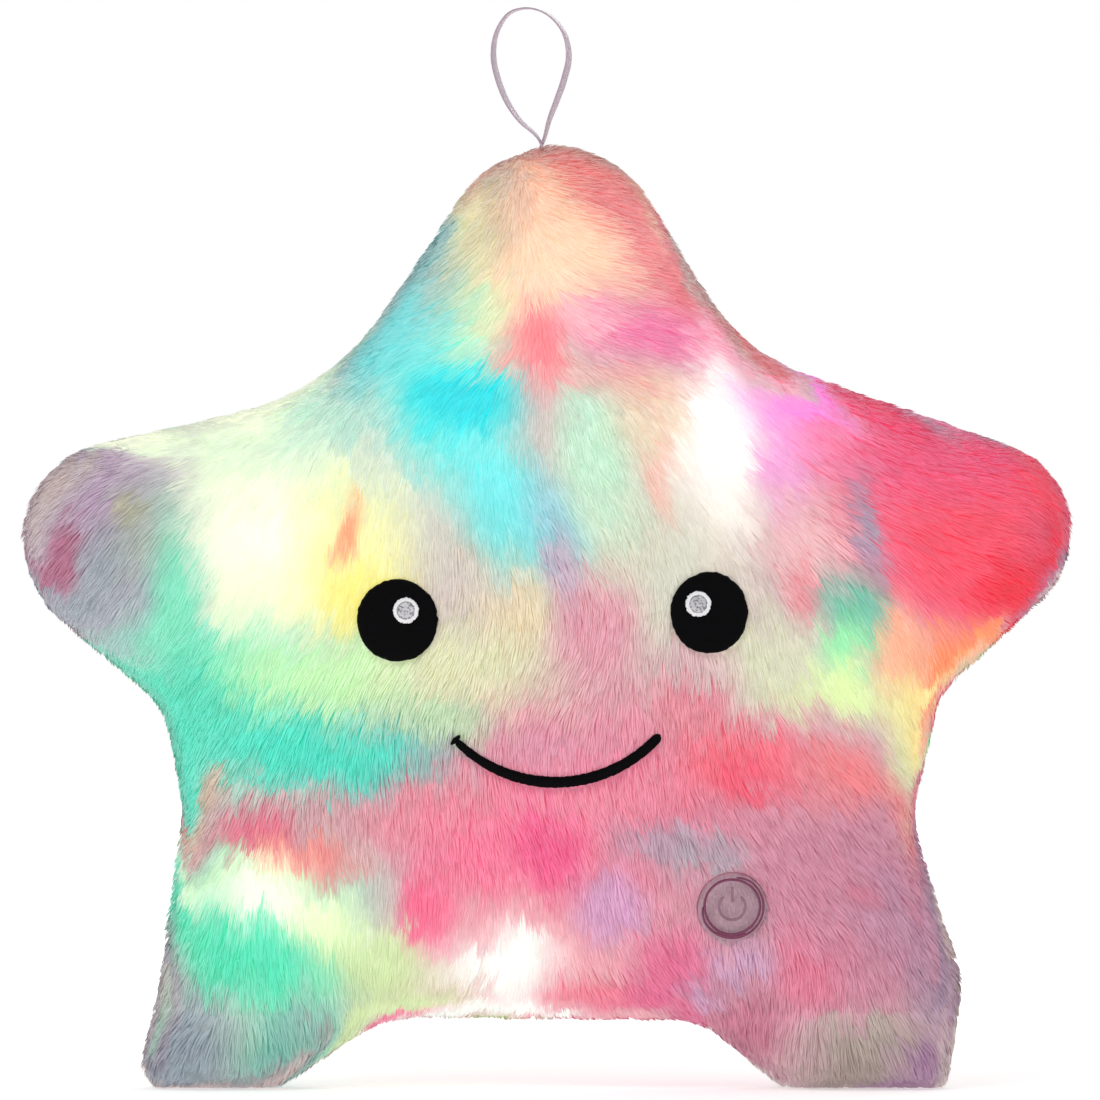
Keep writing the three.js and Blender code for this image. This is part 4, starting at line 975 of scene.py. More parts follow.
@dataclass(frozen=True)
class Pile:
    """Short faux fur: tapering strands that lie over each other and gather in locks."""

    length: float = 11
    edge_length: float = 5
    length_spread: Pair = (0.72, 1.12)
    rise: float = 2.9
    rise_spread: Pair = (0.8, 1.08)
    lock_rise: float = 0.38
    half_width: float = 0.3
    width_spread: Pair = (0.7, 1.2)
    lock_size: int = 30
    gather: float = 0.35
    gather_zone: Pair = (3, 7)
    whorl: Pair = (-8, 400)
    arch_middle: Pair = (4, 222)
    arch_zone: Pair = (258, 300)
    arch_waver: float = 16
    part_waver: float = 8
    parting: float = -14
    parting_width: float = 24
    sway: float = 0.42
    stray: float = 0.1
    press: float = 0.15
    roll: float = 0.45
    droop: float = 1.25
    bleed: float = 2.1
    own_bleed: float = 0.6
    lock_share: float = 0.6
    seen_share: float = 0.4
    floor: float = 0.25
    levels: Sequence[float] = (0, 0.34, 0.7, 1)
    taper: Sequence[float] = (0.75, 1, 0.72)
    shading: tuple[float, float, float] = (0.75, 0.3, 0.18)

    def combed(self, roots: Array, normals: Array, draw: Draw) -> Array:
        """Combs the pile down and away from the whorl, and in arcs across the top.

        Args:
            roots: Where the strands start.
            normals: The outward direction of the cloth there.
            draw: Sets single strands astray.

        Returns:
            The direction that each strand lies in, along the cloth.
        """
        places = roots[:, (0, 2)]
        wave = Grain(32, 40, 2).at(places[:, 0], places[:, 1])
        offset = unit(places - np.array(self.arch_middle))
        parted = places[:, 0] + wave * self.part_waver - self.parting
        parted = np.tanh(parted / self.parting_width)
        lean = np.arctan2(offset[:, 1], np.abs(offset[:, 0])) * parted
        arch = np.stack([np.sin(lean), -np.cos(lean)], 1)
        share = smooth(places[:, 1] + wave * self.arch_waver, *self.arch_zone)[:, None]
        away = unit(unit(places - np.array(self.whorl)) * (1 - share) + arch * share)
        turn = Grain(31, 60, 3).at(places[:, 0], places[:, 1]) * self.sway
        turn += draw.normal(0, self.stray, len(roots))
        x = away[:, 0] * np.cos(turn) - away[:, 1] * np.sin(turn)
        z = away[:, 0] * np.sin(turn) + away[:, 1] * np.cos(turn)
        comb = np.stack([x, -np.sign(normals[:, 1]) * self.press, z], 1)
        return unit(comb - normals * (comb * normals).sum(1, keepdims=True))

    def locks(self, roots: Array, draw: Draw) -> tuple[Array, Array]:
        """Picks the strands that the others gather to.

        Args:
            roots: Where the strands start.
            draw: Picks them.

        Returns:
            The number of each lock's leading strand, and each strand's lock.
        """
        count = len(roots)
        leads = draw.choice(count, max(1, count // self.lock_size), replace=False)
        tree = KDTree(len(leads))
        for order, lead in enumerate(leads):
            tree.insert(roots[lead], order)
        tree.balance()
        return leads, np.array([tree.find(root)[1] for root in roots])

    def blades(self, spine: Array, side: Array, half: Array) -> Array:
        """Gives strands a tapering width.

        Args:
            spine: Their middle lines, level by level.
            side: The direction of their width.
            half: Half of it.

        Returns:
            The corners of each strand, in pairs with one at the tip.
        """
        rows = []
        for at, share in zip(spine[:-1], self.taper):
            rows += [at - side * half * share, at + side * half * share]
        corners = np.stack([*rows, spine[-1]], 1)
        corners[..., 2] = np.maximum(corners[..., 2], self.floor)
        return corners

    @staticmethod
    def blade_faces(count: int, each: int) -> list[Array]:
        """Quads up each strand and a triangle at its tip.

        Args:
            count: How many strands.
            each: How many corners a strand has.

        Returns:
            Corner numbers of the quads and of the triangles.
        """
        start = np.arange(count)[:, None] * each
        rung = np.array([0, 1, 3, 2])
        quads = [start + low + rung for low in range(0, each - 3, 2)]
        return [np.concatenate(quads), start + np.arange(each - 3, each)]

    def grow(
        self, name: str, roots: Array, normals: Array, lengths: Array, dye: Dye,
        rim: Array, seed: int, free: Optional[Reach] = None,
    ) -> Piece:
        """Makes one piece of fur.

        Args:
            name: The piece's name.
            roots: Where the strands start.
            normals: The outward direction of the cloth there.
            lengths: Each strand's length, as a share of the pile's.
            dye: The colours of the panel.
            rim: How near the seam each root is, from 0 to 1, which sets the painted shade there.
            seed: Fixes the strands.
            free: Says how far strands lie before they meet what they mustn't cover.

        Returns:
            The mesh object, without a finish.
        """
        draw = np.random.default_rng(seed)
        count = len(roots)
        comb = self.combed(roots, normals, draw)
        long = (self.length * lengths * draw.uniform(*self.length_spread, count))[:, None]
        leads, lock = self.locks(roots, draw)
        stand = draw.random(len(leads))[lock]
        rise = self.rise * (1 - self.lock_rise + self.lock_rise * stand)
        rise = (rise * draw.uniform(*self.rise_spread, count) * np.sqrt(lengths))[:, None]
        lead = leads[lock]
        own = roots + comb * long + normals * rise
        led = roots[lead] + comb[lead] * long + normals[lead] * rise
        apart = np.linalg.norm(roots - roots[lead], axis=1)
        near = self.gather * (1 - smooth(apart, *self.gather_zone))[:, None]
        tips = own * (1 - near) + led * near
        tips[:, 2] = np.maximum(tips[:, 2], self.floor)
        run = tips - roots
        over = (run * normals).sum(1, keepdims=True)
        flat = run - normals * over
        if free:
            flat = flat * free(roots[:, (0, 2)], flat[:, (0, 2)], draw)[:, None]
        level = np.array(self.levels)[:, None, None]
        spine = roots + flat * level**self.droop + normals * over * (1 - (1 - level) ** 2)
        roll = draw.normal(0, self.roll, count)[:, None]
        side = unit(np.cross(unit(flat + comb * 1e-3), normals))
        side = unit(side * np.cos(roll) + normals * np.sin(roll))
        half = (self.half_width * draw.uniform(*self.width_spread, count))[:, None]
        corners = self.blades(spine, side, half)
        each = corners.shape[1]
        strays = draw.normal(0, self.bleed, len(leads))[lock]
        strays += draw.normal(0, self.bleed * self.own_bleed, count)
        seen = roots + flat * self.seen_share + comb * strays[:, None]
        # Partly painted light, brighter where the strand's lock stands higher, and partly random.
        shine = stand * self.lock_share + draw.random(count) * (1 - self.lock_share)
        carried = {**dye.values(seen), "lock": shine, "rim": rim}
        values = {key: np.repeat(value, each, axis=0) for key, value in carried.items()}
        pairs = [2] * (len(self.levels) - 1) + [1]
        values["tip"] = np.tile(np.repeat(np.array(self.levels), pairs), count)
        outward, sideways, along = self.shading
        hands = np.array([-1, 1] * (each // 2) + [0])[None, :, None]
        bend = normals[:, None] * outward + side[:, None] * sideways * hands - comb[:, None] * along
        shaded = unit(bend).reshape(-1, 3)
        places = corners.reshape(-1, 3)
        made = mesh(name, places, self.blade_faces(count, each), values, shaded)
        self.unwrap(made, places)
        return made

    @staticmethod
    def unwrap(piece: Piece, corners: Array) -> None:
        """Adds a map named OFBake that lays the corners out as seen from the front.

        Args:
            piece: The fur.
            corners: Its corners.
        """
        flat = corners[:, (0, 2)]
        low, high = flat.min(0), flat.max(0)
        share = (flat - low) / (high - low) * 0.998 + 0.001
        loops = np.empty(len(piece.data.loops), dtype=np.int32)
        piece.data.loops.foreach_get("vertex_index", loops)
        layer = piece.data.uv_layers.new(name="OFBake")
        layer.data.foreach_set("uv", share[loops].astype(np.float32).ravel())


def scatter(corners: Array, quads: Array, count: int, seed: int, stripe: float = 6) -> Array:
    """Spreads places evenly over a surface.

    Args:
        corners: The surface's corners.
        quads: Its faces, four corners each.
        count: How many places.
        seed: Fixes them.
        stripe: The width of the upright stripes that it is filled in.

    Returns:
        Places on the surface.
    """
    draw = np.random.default_rng(seed)
    faces = np.concatenate([quads[:, (0, 1, 2)], quads[:, (0, 2, 3)]])
    a, b, c = (corners[faces[:, k]] for k in range(3))
    area = np.linalg.norm(np.cross(b - a, c - a), axis=1)
    column = a[:, 0] // stripe
    order = np.argsort(column * 1000 + a[:, 2] * (1 - 2 * (column % 2)))
    run = np.cumsum(area[order])
    wanted = (np.arange(count) + draw.random(count)) / count * run[-1]
    chosen = order[np.searchsorted(run, wanted).clip(0, len(run) - 1)]
    u, v = draw.random(count), draw.random(count)
    u, v = np.where(u + v > 1, 1 - u, u)[:, None], np.where(u + v > 1, 1 - v, v)[:, None]
    return a[chosen] * (1 - u - v) + b[chosen] * u + c[chosen] * v


# Finishes


@dataclass(frozen=True)
class Finish:
    """How a piece looks, with the record's name for the material."""

    slot: str

    def material(self) -> bpy.types.Material:
        """Makes the finish's material when it is first asked for.

        Returns:
            The material.
        """
        name = "_".join([type(self).__name__, *(str(v).strip("#") for v in vars(self).values())])
        name = "".join(c if c.isalnum() or c in "_.-" else "_" for c in name)[:58]
        found = bpy.data.materials.get(name)
        if found:
            return found
        graph = Graph(bpy.data.materials.new(name))
        return graph.surface(self.sockets(graph))

    def sockets(self, graph: Graph) -> Sockets:
        """Adds the finish's nodes and gives the values of the shader's sockets."""
        raise NotImplementedError


@dataclass(frozen=True)
class Fur(Finish):
    """Tie-dyed pile, lit from inside where the lamps sit."""

    slot: str = "fur"
    # Painted shade at the roots and painted highlight at the tips.
    root_shade: float = 0.92
    tip_tint: float = 0.08
    # Painted fill light: a glow on all the fur, strongest at the roots, that lifts the shade between
    # strands.
    through: float = 0.13
    glow: float = 0.55
    lit_share: float = 0.46
    # Painted shade: near the seam the fur is tinted towards this mauve grey.
    rim: str = "#95838f"

    def sockets(self, graph: Graph) -> Sockets:
        """Painted shade darkens the roots, painted highlight pales the tips, and locks differ in
        brightness, partly at random and partly as painted light by how high each stands.

        Args:
            graph: The material's nodes.

        Returns:
            The shader's sockets.
        """
        dye = graph.attribute("dye", "Color")
        lock = graph.attribute("lock")
        tip = graph.attribute("tip")
        glowing = graph.attribute("glow")
        streak = graph.noise(graph.position(), 340, 3)
        # Painted shade at the roots, painted light by lock height, and random streaks.
        shade = graph.eased(tip, 0, 0.62, self.root_shade, 1)
        shade = shade * (0.9 + 0.12 * lock + 0.08 * streak)
        tinted = graph.mix(tip * self.tip_tint, graph.scaled(dye, shade), (1.0, 0.98, 0.97))
        # Painted shade along the seam.
        edge = graph.mix(graph.attribute("rim") * 0.3, tinted, linear(self.rim))
        # Painted fill light, strongest at the roots.
        through = graph.eased(tip, 0, 1, self.through * 1.9, self.through * 0.6)
        light = graph.mix(glowing * 0.1, dye, (1.0, 1.0, 0.96))
        strength = glowing * (0.6 + 0.4 * glowing) * shade * self.glow + through
        return {
            "Base Color": graph.scaled(edge, 1 - glowing * self.lit_share),
            "Roughness": graph.eased(streak, 0.2, 0.8, 0.5, 0.68),
            "Specular IOR Level": 0.14,
            "Sheen Weight": 0.05,
            "Sheen Roughness": 0.4,
            "Emission Color": graph.scaled(light, strength),
            "Emission Strength": 1.0,
        }


@dataclass(frozen=True)
class Backing(Finish):
    """Knitted cloth under the pile, dyed with it, with painted shade and a painted glow."""

    slot: str = "fur"
    # Painted shade: how much darker the cloth is where it lies under the pile.
    shade: float = 0.9
    stitch: float = 620

    def sockets(self, graph: Graph) -> Sockets:
        """Rows of small knitted loops in the dye's colours, with painted shade darker between the
        loops.

        Args:
            graph: The material's nodes.

        Returns:
            The shader's sockets.
        """
        dye = graph.attribute("dye", "Color")
        knit = {"Vector": graph.position(), "Scale": self.stitch}
        loops = graph.node("ShaderNodeTexVoronoi", {"feature": "SMOOTH_F1"}, knit)
        shade = graph.eased(loops, 0.1, 0.7, self.shade * 1.15, self.shade * 0.75)
        return {
            "Base Color": graph.scaled(dye, shade),
            "Roughness": 0.85,
            "Sheen Weight": 0.2,
            # Painted fill light on all the cloth, with the lamps' painted glow where they sit.
            "Emission Color": graph.scaled(dye, graph.attribute("glow") * 0.4 + 0.22),
            "Emission Strength": 1.0,
            "Normal": graph.bump(loops, 0.0004, 0.5),
        }


@dataclass(frozen=True)
class Stitch(Finish):
    """Glossy satin stitch: threads side by side in one direction."""

    colour: str = "#020203"
    # The thread crowns' colour: painted highlight, broken up by fibre noise.
    lighter: str = "#0d0d10"
    pitch: float = 0.42
    turn: float = 90
    roughness: float = 0.34
    shine: float = 0.03

    def sockets(self, graph: Graph) -> Sockets:
        """Round threads with a twist, each a little different, with painted highlight on each thread's
        crown.

        Args:
            graph: The material's nodes.

        Returns:
            The shader's sockets.
        """
        turned = {"Vector": graph.position(), "Angle": math.radians(self.turn)}
        place = graph.node("ShaderNodeVectorRotate", {"rotation_type": "Y_AXIS"}, turned)
        wander = graph.vector("SUBTRACT", graph.noise(place, 90, 2, "Color"), (0.5, 0.5, 0.5))
        place = graph.vector("ADD", place, graph.scaled(wander, 0.0005))
        thread = graph.math("SINE", graph.part(place, "X") * (1000 / self.pitch) * math.pi)
        round_ = thread * thread
        fibre = graph.stretched(place, (2400.0, 200.0, 130.0))
        return {
            # Painted highlight on the thread crowns.
            "Base Color": graph.mix(round_ * fibre, linear(self.colour), linear(self.lighter)),
            "Roughness": graph.eased(fibre, 0.2, 0.8, self.roughness, self.roughness + 0.18),
            "Specular IOR Level": self.shine,
            "Normal": graph.bump(round_ * 0.8 + fibre * 0.35, 0.00022, 0.8),
        }


@dataclass(frozen=True)
class Weave(Finish):
    """Woven cloth or ribbon: warp and weft that pass over each other."""

    colour: str = "#b59fb2"
    # The colour of the thread crowns, a painted highlight, and of worn places.
    lighter: str = "#e4d4e0"
    warp: float = 0.25
    weft: float = 0.6
    roughness: float = 0.5
    speckle: float = 0

    def sockets(self, graph: Graph) -> Sockets:
        """Threads by sine in two directions, with painted highlight on the threads' crowns and with
        worn and soiled places.

        Args:
            graph: The material's nodes.

        Returns:
            The shader's sockets.
        """
        place = graph.position()
        x, y, z = (graph.part(place, axis) for axis in "XYZ")
        along = graph.math("SINE", (x + y) * (math.pi * 1000 / self.warp))
        over = graph.math("SINE", (z - y * 0.3) * (math.pi * 1000 / self.weft))
        cloth = graph.math("MAXIMUM", along * along * (0.55 + 0.45 * over), over * over * 0.6)
        worn = graph.noise(place, 60, 4)
        # Painted highlight on the thread crowns, with worn places at random.
        lighter = graph.eased(cloth * 0.6 + worn * 0.7, 0.3, 1.1)
        colour = graph.mix(lighter, linear(self.colour), linear(self.lighter))
        if self.speckle:
            fleck = graph.eased(graph.noise(place, 1000, 2), 0.5, 0.6)
            colour = graph.mix(fleck * self.speckle, colour, (0.06, 0.06, 0.07))
        return {
            "Base Color": colour,
            "Roughness": graph.eased(worn, 0.3, 0.7, self.roughness, self.roughness + 0.2),
            "Sheen Weight": 0.2,
            "Normal": graph.bump(cloth, 0.00025, 0.7),
        }


@dataclass(frozen=True)
class Plastic(Finish):
    """Moulded plastic: fine spark texture, faint scuffs and dust."""

    colour: str = "#e8e6e2"
    roughness: float = 0.42
    grain: float = 0.00006

    def sockets(self, graph: Graph) -> Sockets:
        """A slightly uneven colour under a fine texture.

        Args:
            graph: The material's nodes.

        Returns:
            The shader's sockets.
        """
        place = graph.position()
        cloud = graph.noise(place, 45, 3)
        squashed = graph.vector("MULTIPLY", place, (1.0, 1.0, 7.0))
        scuff = graph.eased(graph.noise(squashed, 160, 4), 0.58, 0.72)
        base = linear(self.colour)
        colour = graph.mix(graph.eased(cloud, 0.3, 0.7), tuple(c * 0.84 for c in base), base)
        rough = graph.eased(cloud, 0.25, 0.75, self.roughness, self.roughness + 0.1)
        return {
            "Base Color": graph.mix(scuff * 0.12, colour, (0.75, 0.74, 0.72)),
            "Roughness": rough + scuff * 0.12,
            "Coat Weight": 0.05,
            "Normal": graph.bump(graph.noise(place, 2600, 2), self.grain, 0.6),
        }


@dataclass(frozen=True)
class Metal(Finish):
    """Plated metal with brushed lines and tarnished spots."""

    colour: str = "#c9c9cc"
    roughness: float = 0.26

    def sockets(self, graph: Graph) -> Sockets:
        """Brushed along the piece, duller where it is handled.

        Args:
            graph: The material's nodes.

        Returns:
            The shader's sockets.
        """
        place = graph.position()
        lines = graph.stretched(place, (250.0, 900.0, 4500.0))
        spots = graph.eased(graph.noise(place, 240, 4), 0.55, 0.75)
        base = linear(self.colour)
        rough = graph.eased(lines, 0.25, 0.75, self.roughness, self.roughness + 0.14)
        return {
            "Base Color": graph.mix(spots * 0.5, base, tuple(c * 0.55 for c in base)),
            "Metallic": 1.0,
            "Roughness": rough + spots * 0.15,
            "Normal": graph.bump(lines, 0.00003, 0.4),
        }


@dataclass(frozen=True)
class Board(Finish):
    """Solder-masked circuit board with tracks and pads."""

    slot: str = "circuit_board"
    mask: str = "#1d6b3d"
    pad: str = "#c9b06a"

    def sockets(self, graph: Graph) -> Sockets:
        """Tracks by cell edges, tinned pads by cell middles.

        Args:
            graph: The material's nodes.

        Returns:
            The shader's sockets.
        """
        cells = {"Vector": graph.position(), "Scale": 420.0, "Randomness": 0.35}
        borders = {"feature": "DISTANCE_TO_EDGE", "distance": "EUCLIDEAN"}
        track = graph.node("ShaderNodeTexVoronoi", borders, cells)
        pads = graph.node("ShaderNodeTexVoronoi", {"distance": "CHEBYCHEV"}, cells)
        line = graph.eased(track, 0.05, 0.09, 1, 0)
        dot = graph.eased(pads, 0.12, 0.16, 1, 0)
        base = linear(self.mask)
        mask = graph.mix(line * 0.55, base, tuple(c * 1.9 for c in base))
        return {
            "Base Color": graph.mix(dot, mask, linear(self.pad)),
            "Metallic": dot * 0.8,
            "Roughness": 0.32 - dot * 0.04,
            "Coat Weight": 0.3,
            "Normal": graph.bump(line + dot, 0.00008, 0.6),
        }


@dataclass(frozen=True)
class Resin(Finish):
    """Milky lamp resin, alight."""

    slot: str = "lamp_resin"
    colour: str = "#fff6e4"

    def sockets(self, graph: Graph) -> Sockets:
        """Brighter inside, with a few bubbles.

        Args:
            graph: The material's nodes.

        Returns:
            The shader's sockets.
        """
        place = graph.position()
        cloud = graph.eased(graph.noise(place, 300, 3), 0.3, 0.7)
        bubbles = graph.node("ShaderNodeTexVoronoi", None, {"Vector": place, "Scale": 700.0})
        colour = graph.mix(cloud, linear(self.colour), (0.93, 0.9, 0.82))
        return {
            "Base Color": colour,
            "Roughness": graph.eased(bubbles, 0.1, 0.5, 0.3, 0.16),
            "Coat Weight": 0.4,
            "Emission Color": colour,
            "Emission Strength": 0.8,
            "Normal": graph.bump(bubbles, 0.00005, 0.4),
        }


@dataclass(frozen=True)
class Wadding(Finish):
    """Polyester stuffing: fine fibres in loose tufts."""

    slot: str = "stuffing"
    colour: str = "#f1efea"

    def sockets(self, graph: Graph) -> Sockets:
        """Fibres by stretched noise in two directions, grey with painted shade where the fibres and
        tufts lie low.

        Args:
            graph: The material's nodes.

        Returns:
            The shader's sockets.
        """
        place = graph.position()
        wander = graph.scaled(graph.noise(place, 40, 2, "Color"), 0.03)
        bent = graph.vector("ADD", place, wander)
        ways = ((2200.0, 300.0, 240.0), (260.0, 400.0, 2100.0))
        fibre = graph.math("MAXIMUM", *(graph.stretched(bent, way, 3) for way in ways))
        tuft = graph.noise(place, 55, 3)
        # Painted shade: grey where the fibres and tufts lie low.
        paler = graph.eased(fibre * 0.6 + tuft * 0.6, 0.3, 0.95)
        return {
            "Base Color": graph.mix(paler, (0.55, 0.54, 0.52), linear(self.colour)),
            "Roughness": 0.9,
            "Sheen Weight": 0.35,
            "Normal": graph.bump(fibre + tuft * 2, 0.0008, 0.8),
        }


@dataclass(frozen=True)
class Wrap(Finish):
    """Printed film round a battery cell, without any lettering."""

    slot: str = "cell_wrap"
    body: str = "#3b4a5a"
    band: str = "#c08a3a"

    def sockets(self, graph: Graph) -> Sockets:
        """A plain body with a coloured band at one end.

        Args:
            graph: The material's nodes.

        Returns:
            The shader's sockets.
        """
        place = graph.position()
        band = graph.eased(graph.part(place, "X"), 0.012, 0.0125)
        crease = graph.stretched(place, (120.0, 900.0, 900.0), 3)
        return {
            "Base Color": graph.mix(band, linear(self.body), linear(self.band)),
            "Roughness": graph.eased(crease, 0.3, 0.7, 0.24, 0.4),
            "Metallic": 0.25,
            "Coat Weight": 0.4,
            "Normal": graph.bump(crease, 0.00006, 0.5),
        }


# Sub-assemblies


@dataclass(frozen=True)
class PressSwitch:
    """The press patch with its sewn ring and power mark, over the switch in the stuffing."""

    middle: Pair = (69.6, 70.3)
    hole_radius: float = 13.2
    patch_radius: float = 12.9
    patch_cloth: float = 1.1
    patch_rings: int = 22
    corners_round: int = 96
    strands: int = 2600
    quick_strands: int = 420
    ring_radius: float = 11.5
    ring_thread: float = 1.05
    mark_radius: float = 5
    mark_thread: float = 1.0
    mark_gap: float = 38
    bar: Pair = (1.6, 7.6)
    pile_length: float = 0.3
    ground: str = "#b795a2"
    bank_lift: float = 0.45
    bank_height: float = 0.6
    centre_radius: float = 0.2
    ground_half: float = 16
    edge_clear: float = 0.1
    ring_wave: float = 0.012
    second_turns: Sequence[float] = (-3.15, -2.6, 0.9, 1.45)
    second_apart: Sequence[float] = (-0.4, 0.35, 0.4, -0.3)
    third_turns: Pair = (-2.1, -1.1)

    def spot(self, radius: Array, turn: Array) -> Array:
        """Places round the patch's middle."""
        return np.array(self.middle) + round_ways(turn) * np.asarray(radius)[..., None]

    def build(self, shell: Shell, dye: Dye) -> None:
        """Makes the patch, its fur, the ring and the mark.

        Args:
            shell: The front's cloth.
            dye: The front's dye.
        """
        rings, sides = self.patch_rings, self.corners_round
        radii = np.linspace(self.patch_radius, self.centre_radius, rings)
        points = shell.place(np.concatenate([
            self.spot(np.full(sides, radius), circle(sides)) for radius in radii
        ]))
        values = dye.values(points)
        values["glow"] *= 0
        quads = grid_faces(rings, sides)
        caps = np.arange((rings - 1) * sides, rings * sides)[None]
        disc = mesh("press_patch_cloth", points, [quads, caps], values)
        dress(thicken(disc, self.patch_cloth), Backing(), Body.BUTTON)
        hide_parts("press_patch")
        count = self.strands
        self.furnish(shell, scatter(points, quads, count, 51))
        self.sew(shell)
        LOG.info("press switch made")

    def furnish(self, shell: Shell, roots: Array) -> None:
        """Grows the patch's short fur, which stops at its edge.

        Args:
            shell: The front's cloth.
            roots: Where the strands start.
        """
        half = self.ground_half
        plain = DyePatch("patch", *self.middle, half, half, 0, self.ground, 1)
        dye = Dye(patches=(plain,), glow=0, ground=self.ground)
        short = np.full(len(roots), self.pile_length)
        pile = Pile(half_width=0.4, rise=1.9, lock_size=12)
        normals = shell.normal(roots[:, (0, 2)])
        # No painted seam shade on the patch.
        no_rim = np.zeros(len(roots))
        fur = pile.grow("press_patch_fur", roots, normals, short, dye, no_rim, 52, self.reach)
        dress(fur, Fur(glow=0.1), Body.BUTTON)

    def reach(self, starts: Array, runs: Array, _: Draw) -> Array:
        """Stops strands at the patch's edge."""
        edge = np.full(len(starts), self.patch_radius - self.edge_clear)
        return meets(starts, runs, self.middle, edge)

    def sew(self, shell: Shell) -> None:
        """Makes the ring of thin strokes that part and meet, and the mark inside it.

        Args:
            shell: The front's cloth.
        """
        plum = Stitch("plum_thread", "#6f3450", "#a0607c", 0.4, 0, 0.4, 0.2)
        tone = Stitch("plum_thread", "#8f6d7c", "#b795a4", 0.4, 0, 0.4)
        turn = circle(120)
        wobble = (self.ring_radius - 1) * (1 + self.ring_wave * np.sin(turn * 3 + 0.6))
        outer = np.linspace(self.second_turns[0], self.second_turns[-1], 110)
        lower = np.linspace(*self.third_turns, 50)
        apart = np.interp(outer, self.second_turns, self.second_apart)
        gap = math.radians(self.mark_gap)
        swept = np.linspace(math.pi / 2 + gap, math.pi * 5 / 2 - gap, 60)
        upright = np.full(14, math.pi / 2)
        strokes = (
            ("switch_ring_sewn", wobble, turn, 0.9, plum, "switch_ring"),
            ("switch_ring_second", self.ring_radius + apart, outer, 0.85, plum, None),
            ("switch_ring_third", np.full(50, self.ring_radius - 0.15), lower, 1, plum, None),
            ("switch_mark_sewn", np.full(60, self.mark_radius), swept, 1, tone, "switch_mark_arc"),
            ("switch_mark_stroke", np.linspace(*self.bar, 14), upright, 1, tone, "switch_mark_bar"),
        )
        for name, radius, angle, share, finish, packed in strokes:
            thread = share * (self.ring_thread if finish is plum else self.mark_thread)
            closed = angle is turn
            made = self.stroke(shell, name, self.spot(radius, angle), thread, finish, closed)
            if packed:
                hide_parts(packed)

    def stroke(
        self, shell: Shell, name: str, places: Array, thread: float, finish: Finish,
        closed: bool = False,
    ) -> Piece:
        """Makes a low half-round bank of stitches on the patch.

        Args:
            shell: The front's cloth.
            name: The piece's name.
            places: Where it runs.
            thread: Its width.
            finish: Its finish.
            closed: Whether it ends at its start.

        Returns:
            The piece, dressed.
        """
        path = shell.place(places, self.bank_lift, 0)
        normal = shell.normal(places)
        along = np.roll(path, -1, 0) - np.roll(path, 1, 0) if closed else np.gradient(path, axis=0)
        across = np.cross(unit(along), normal)
        run = np.linspace(-1, 1, len(path))
        taper = np.ones(len(path)) if closed else np.clip((1 - run**16) ** 0.5 + 0.1, 0, 1)
        height = taper * self.bank_height
        corners, faces = tube(path, across, taper * thread / 2, height, 12, 0.8, closed)
        return dress(mesh(name, corners, faces), finish, Body.BUTTON)


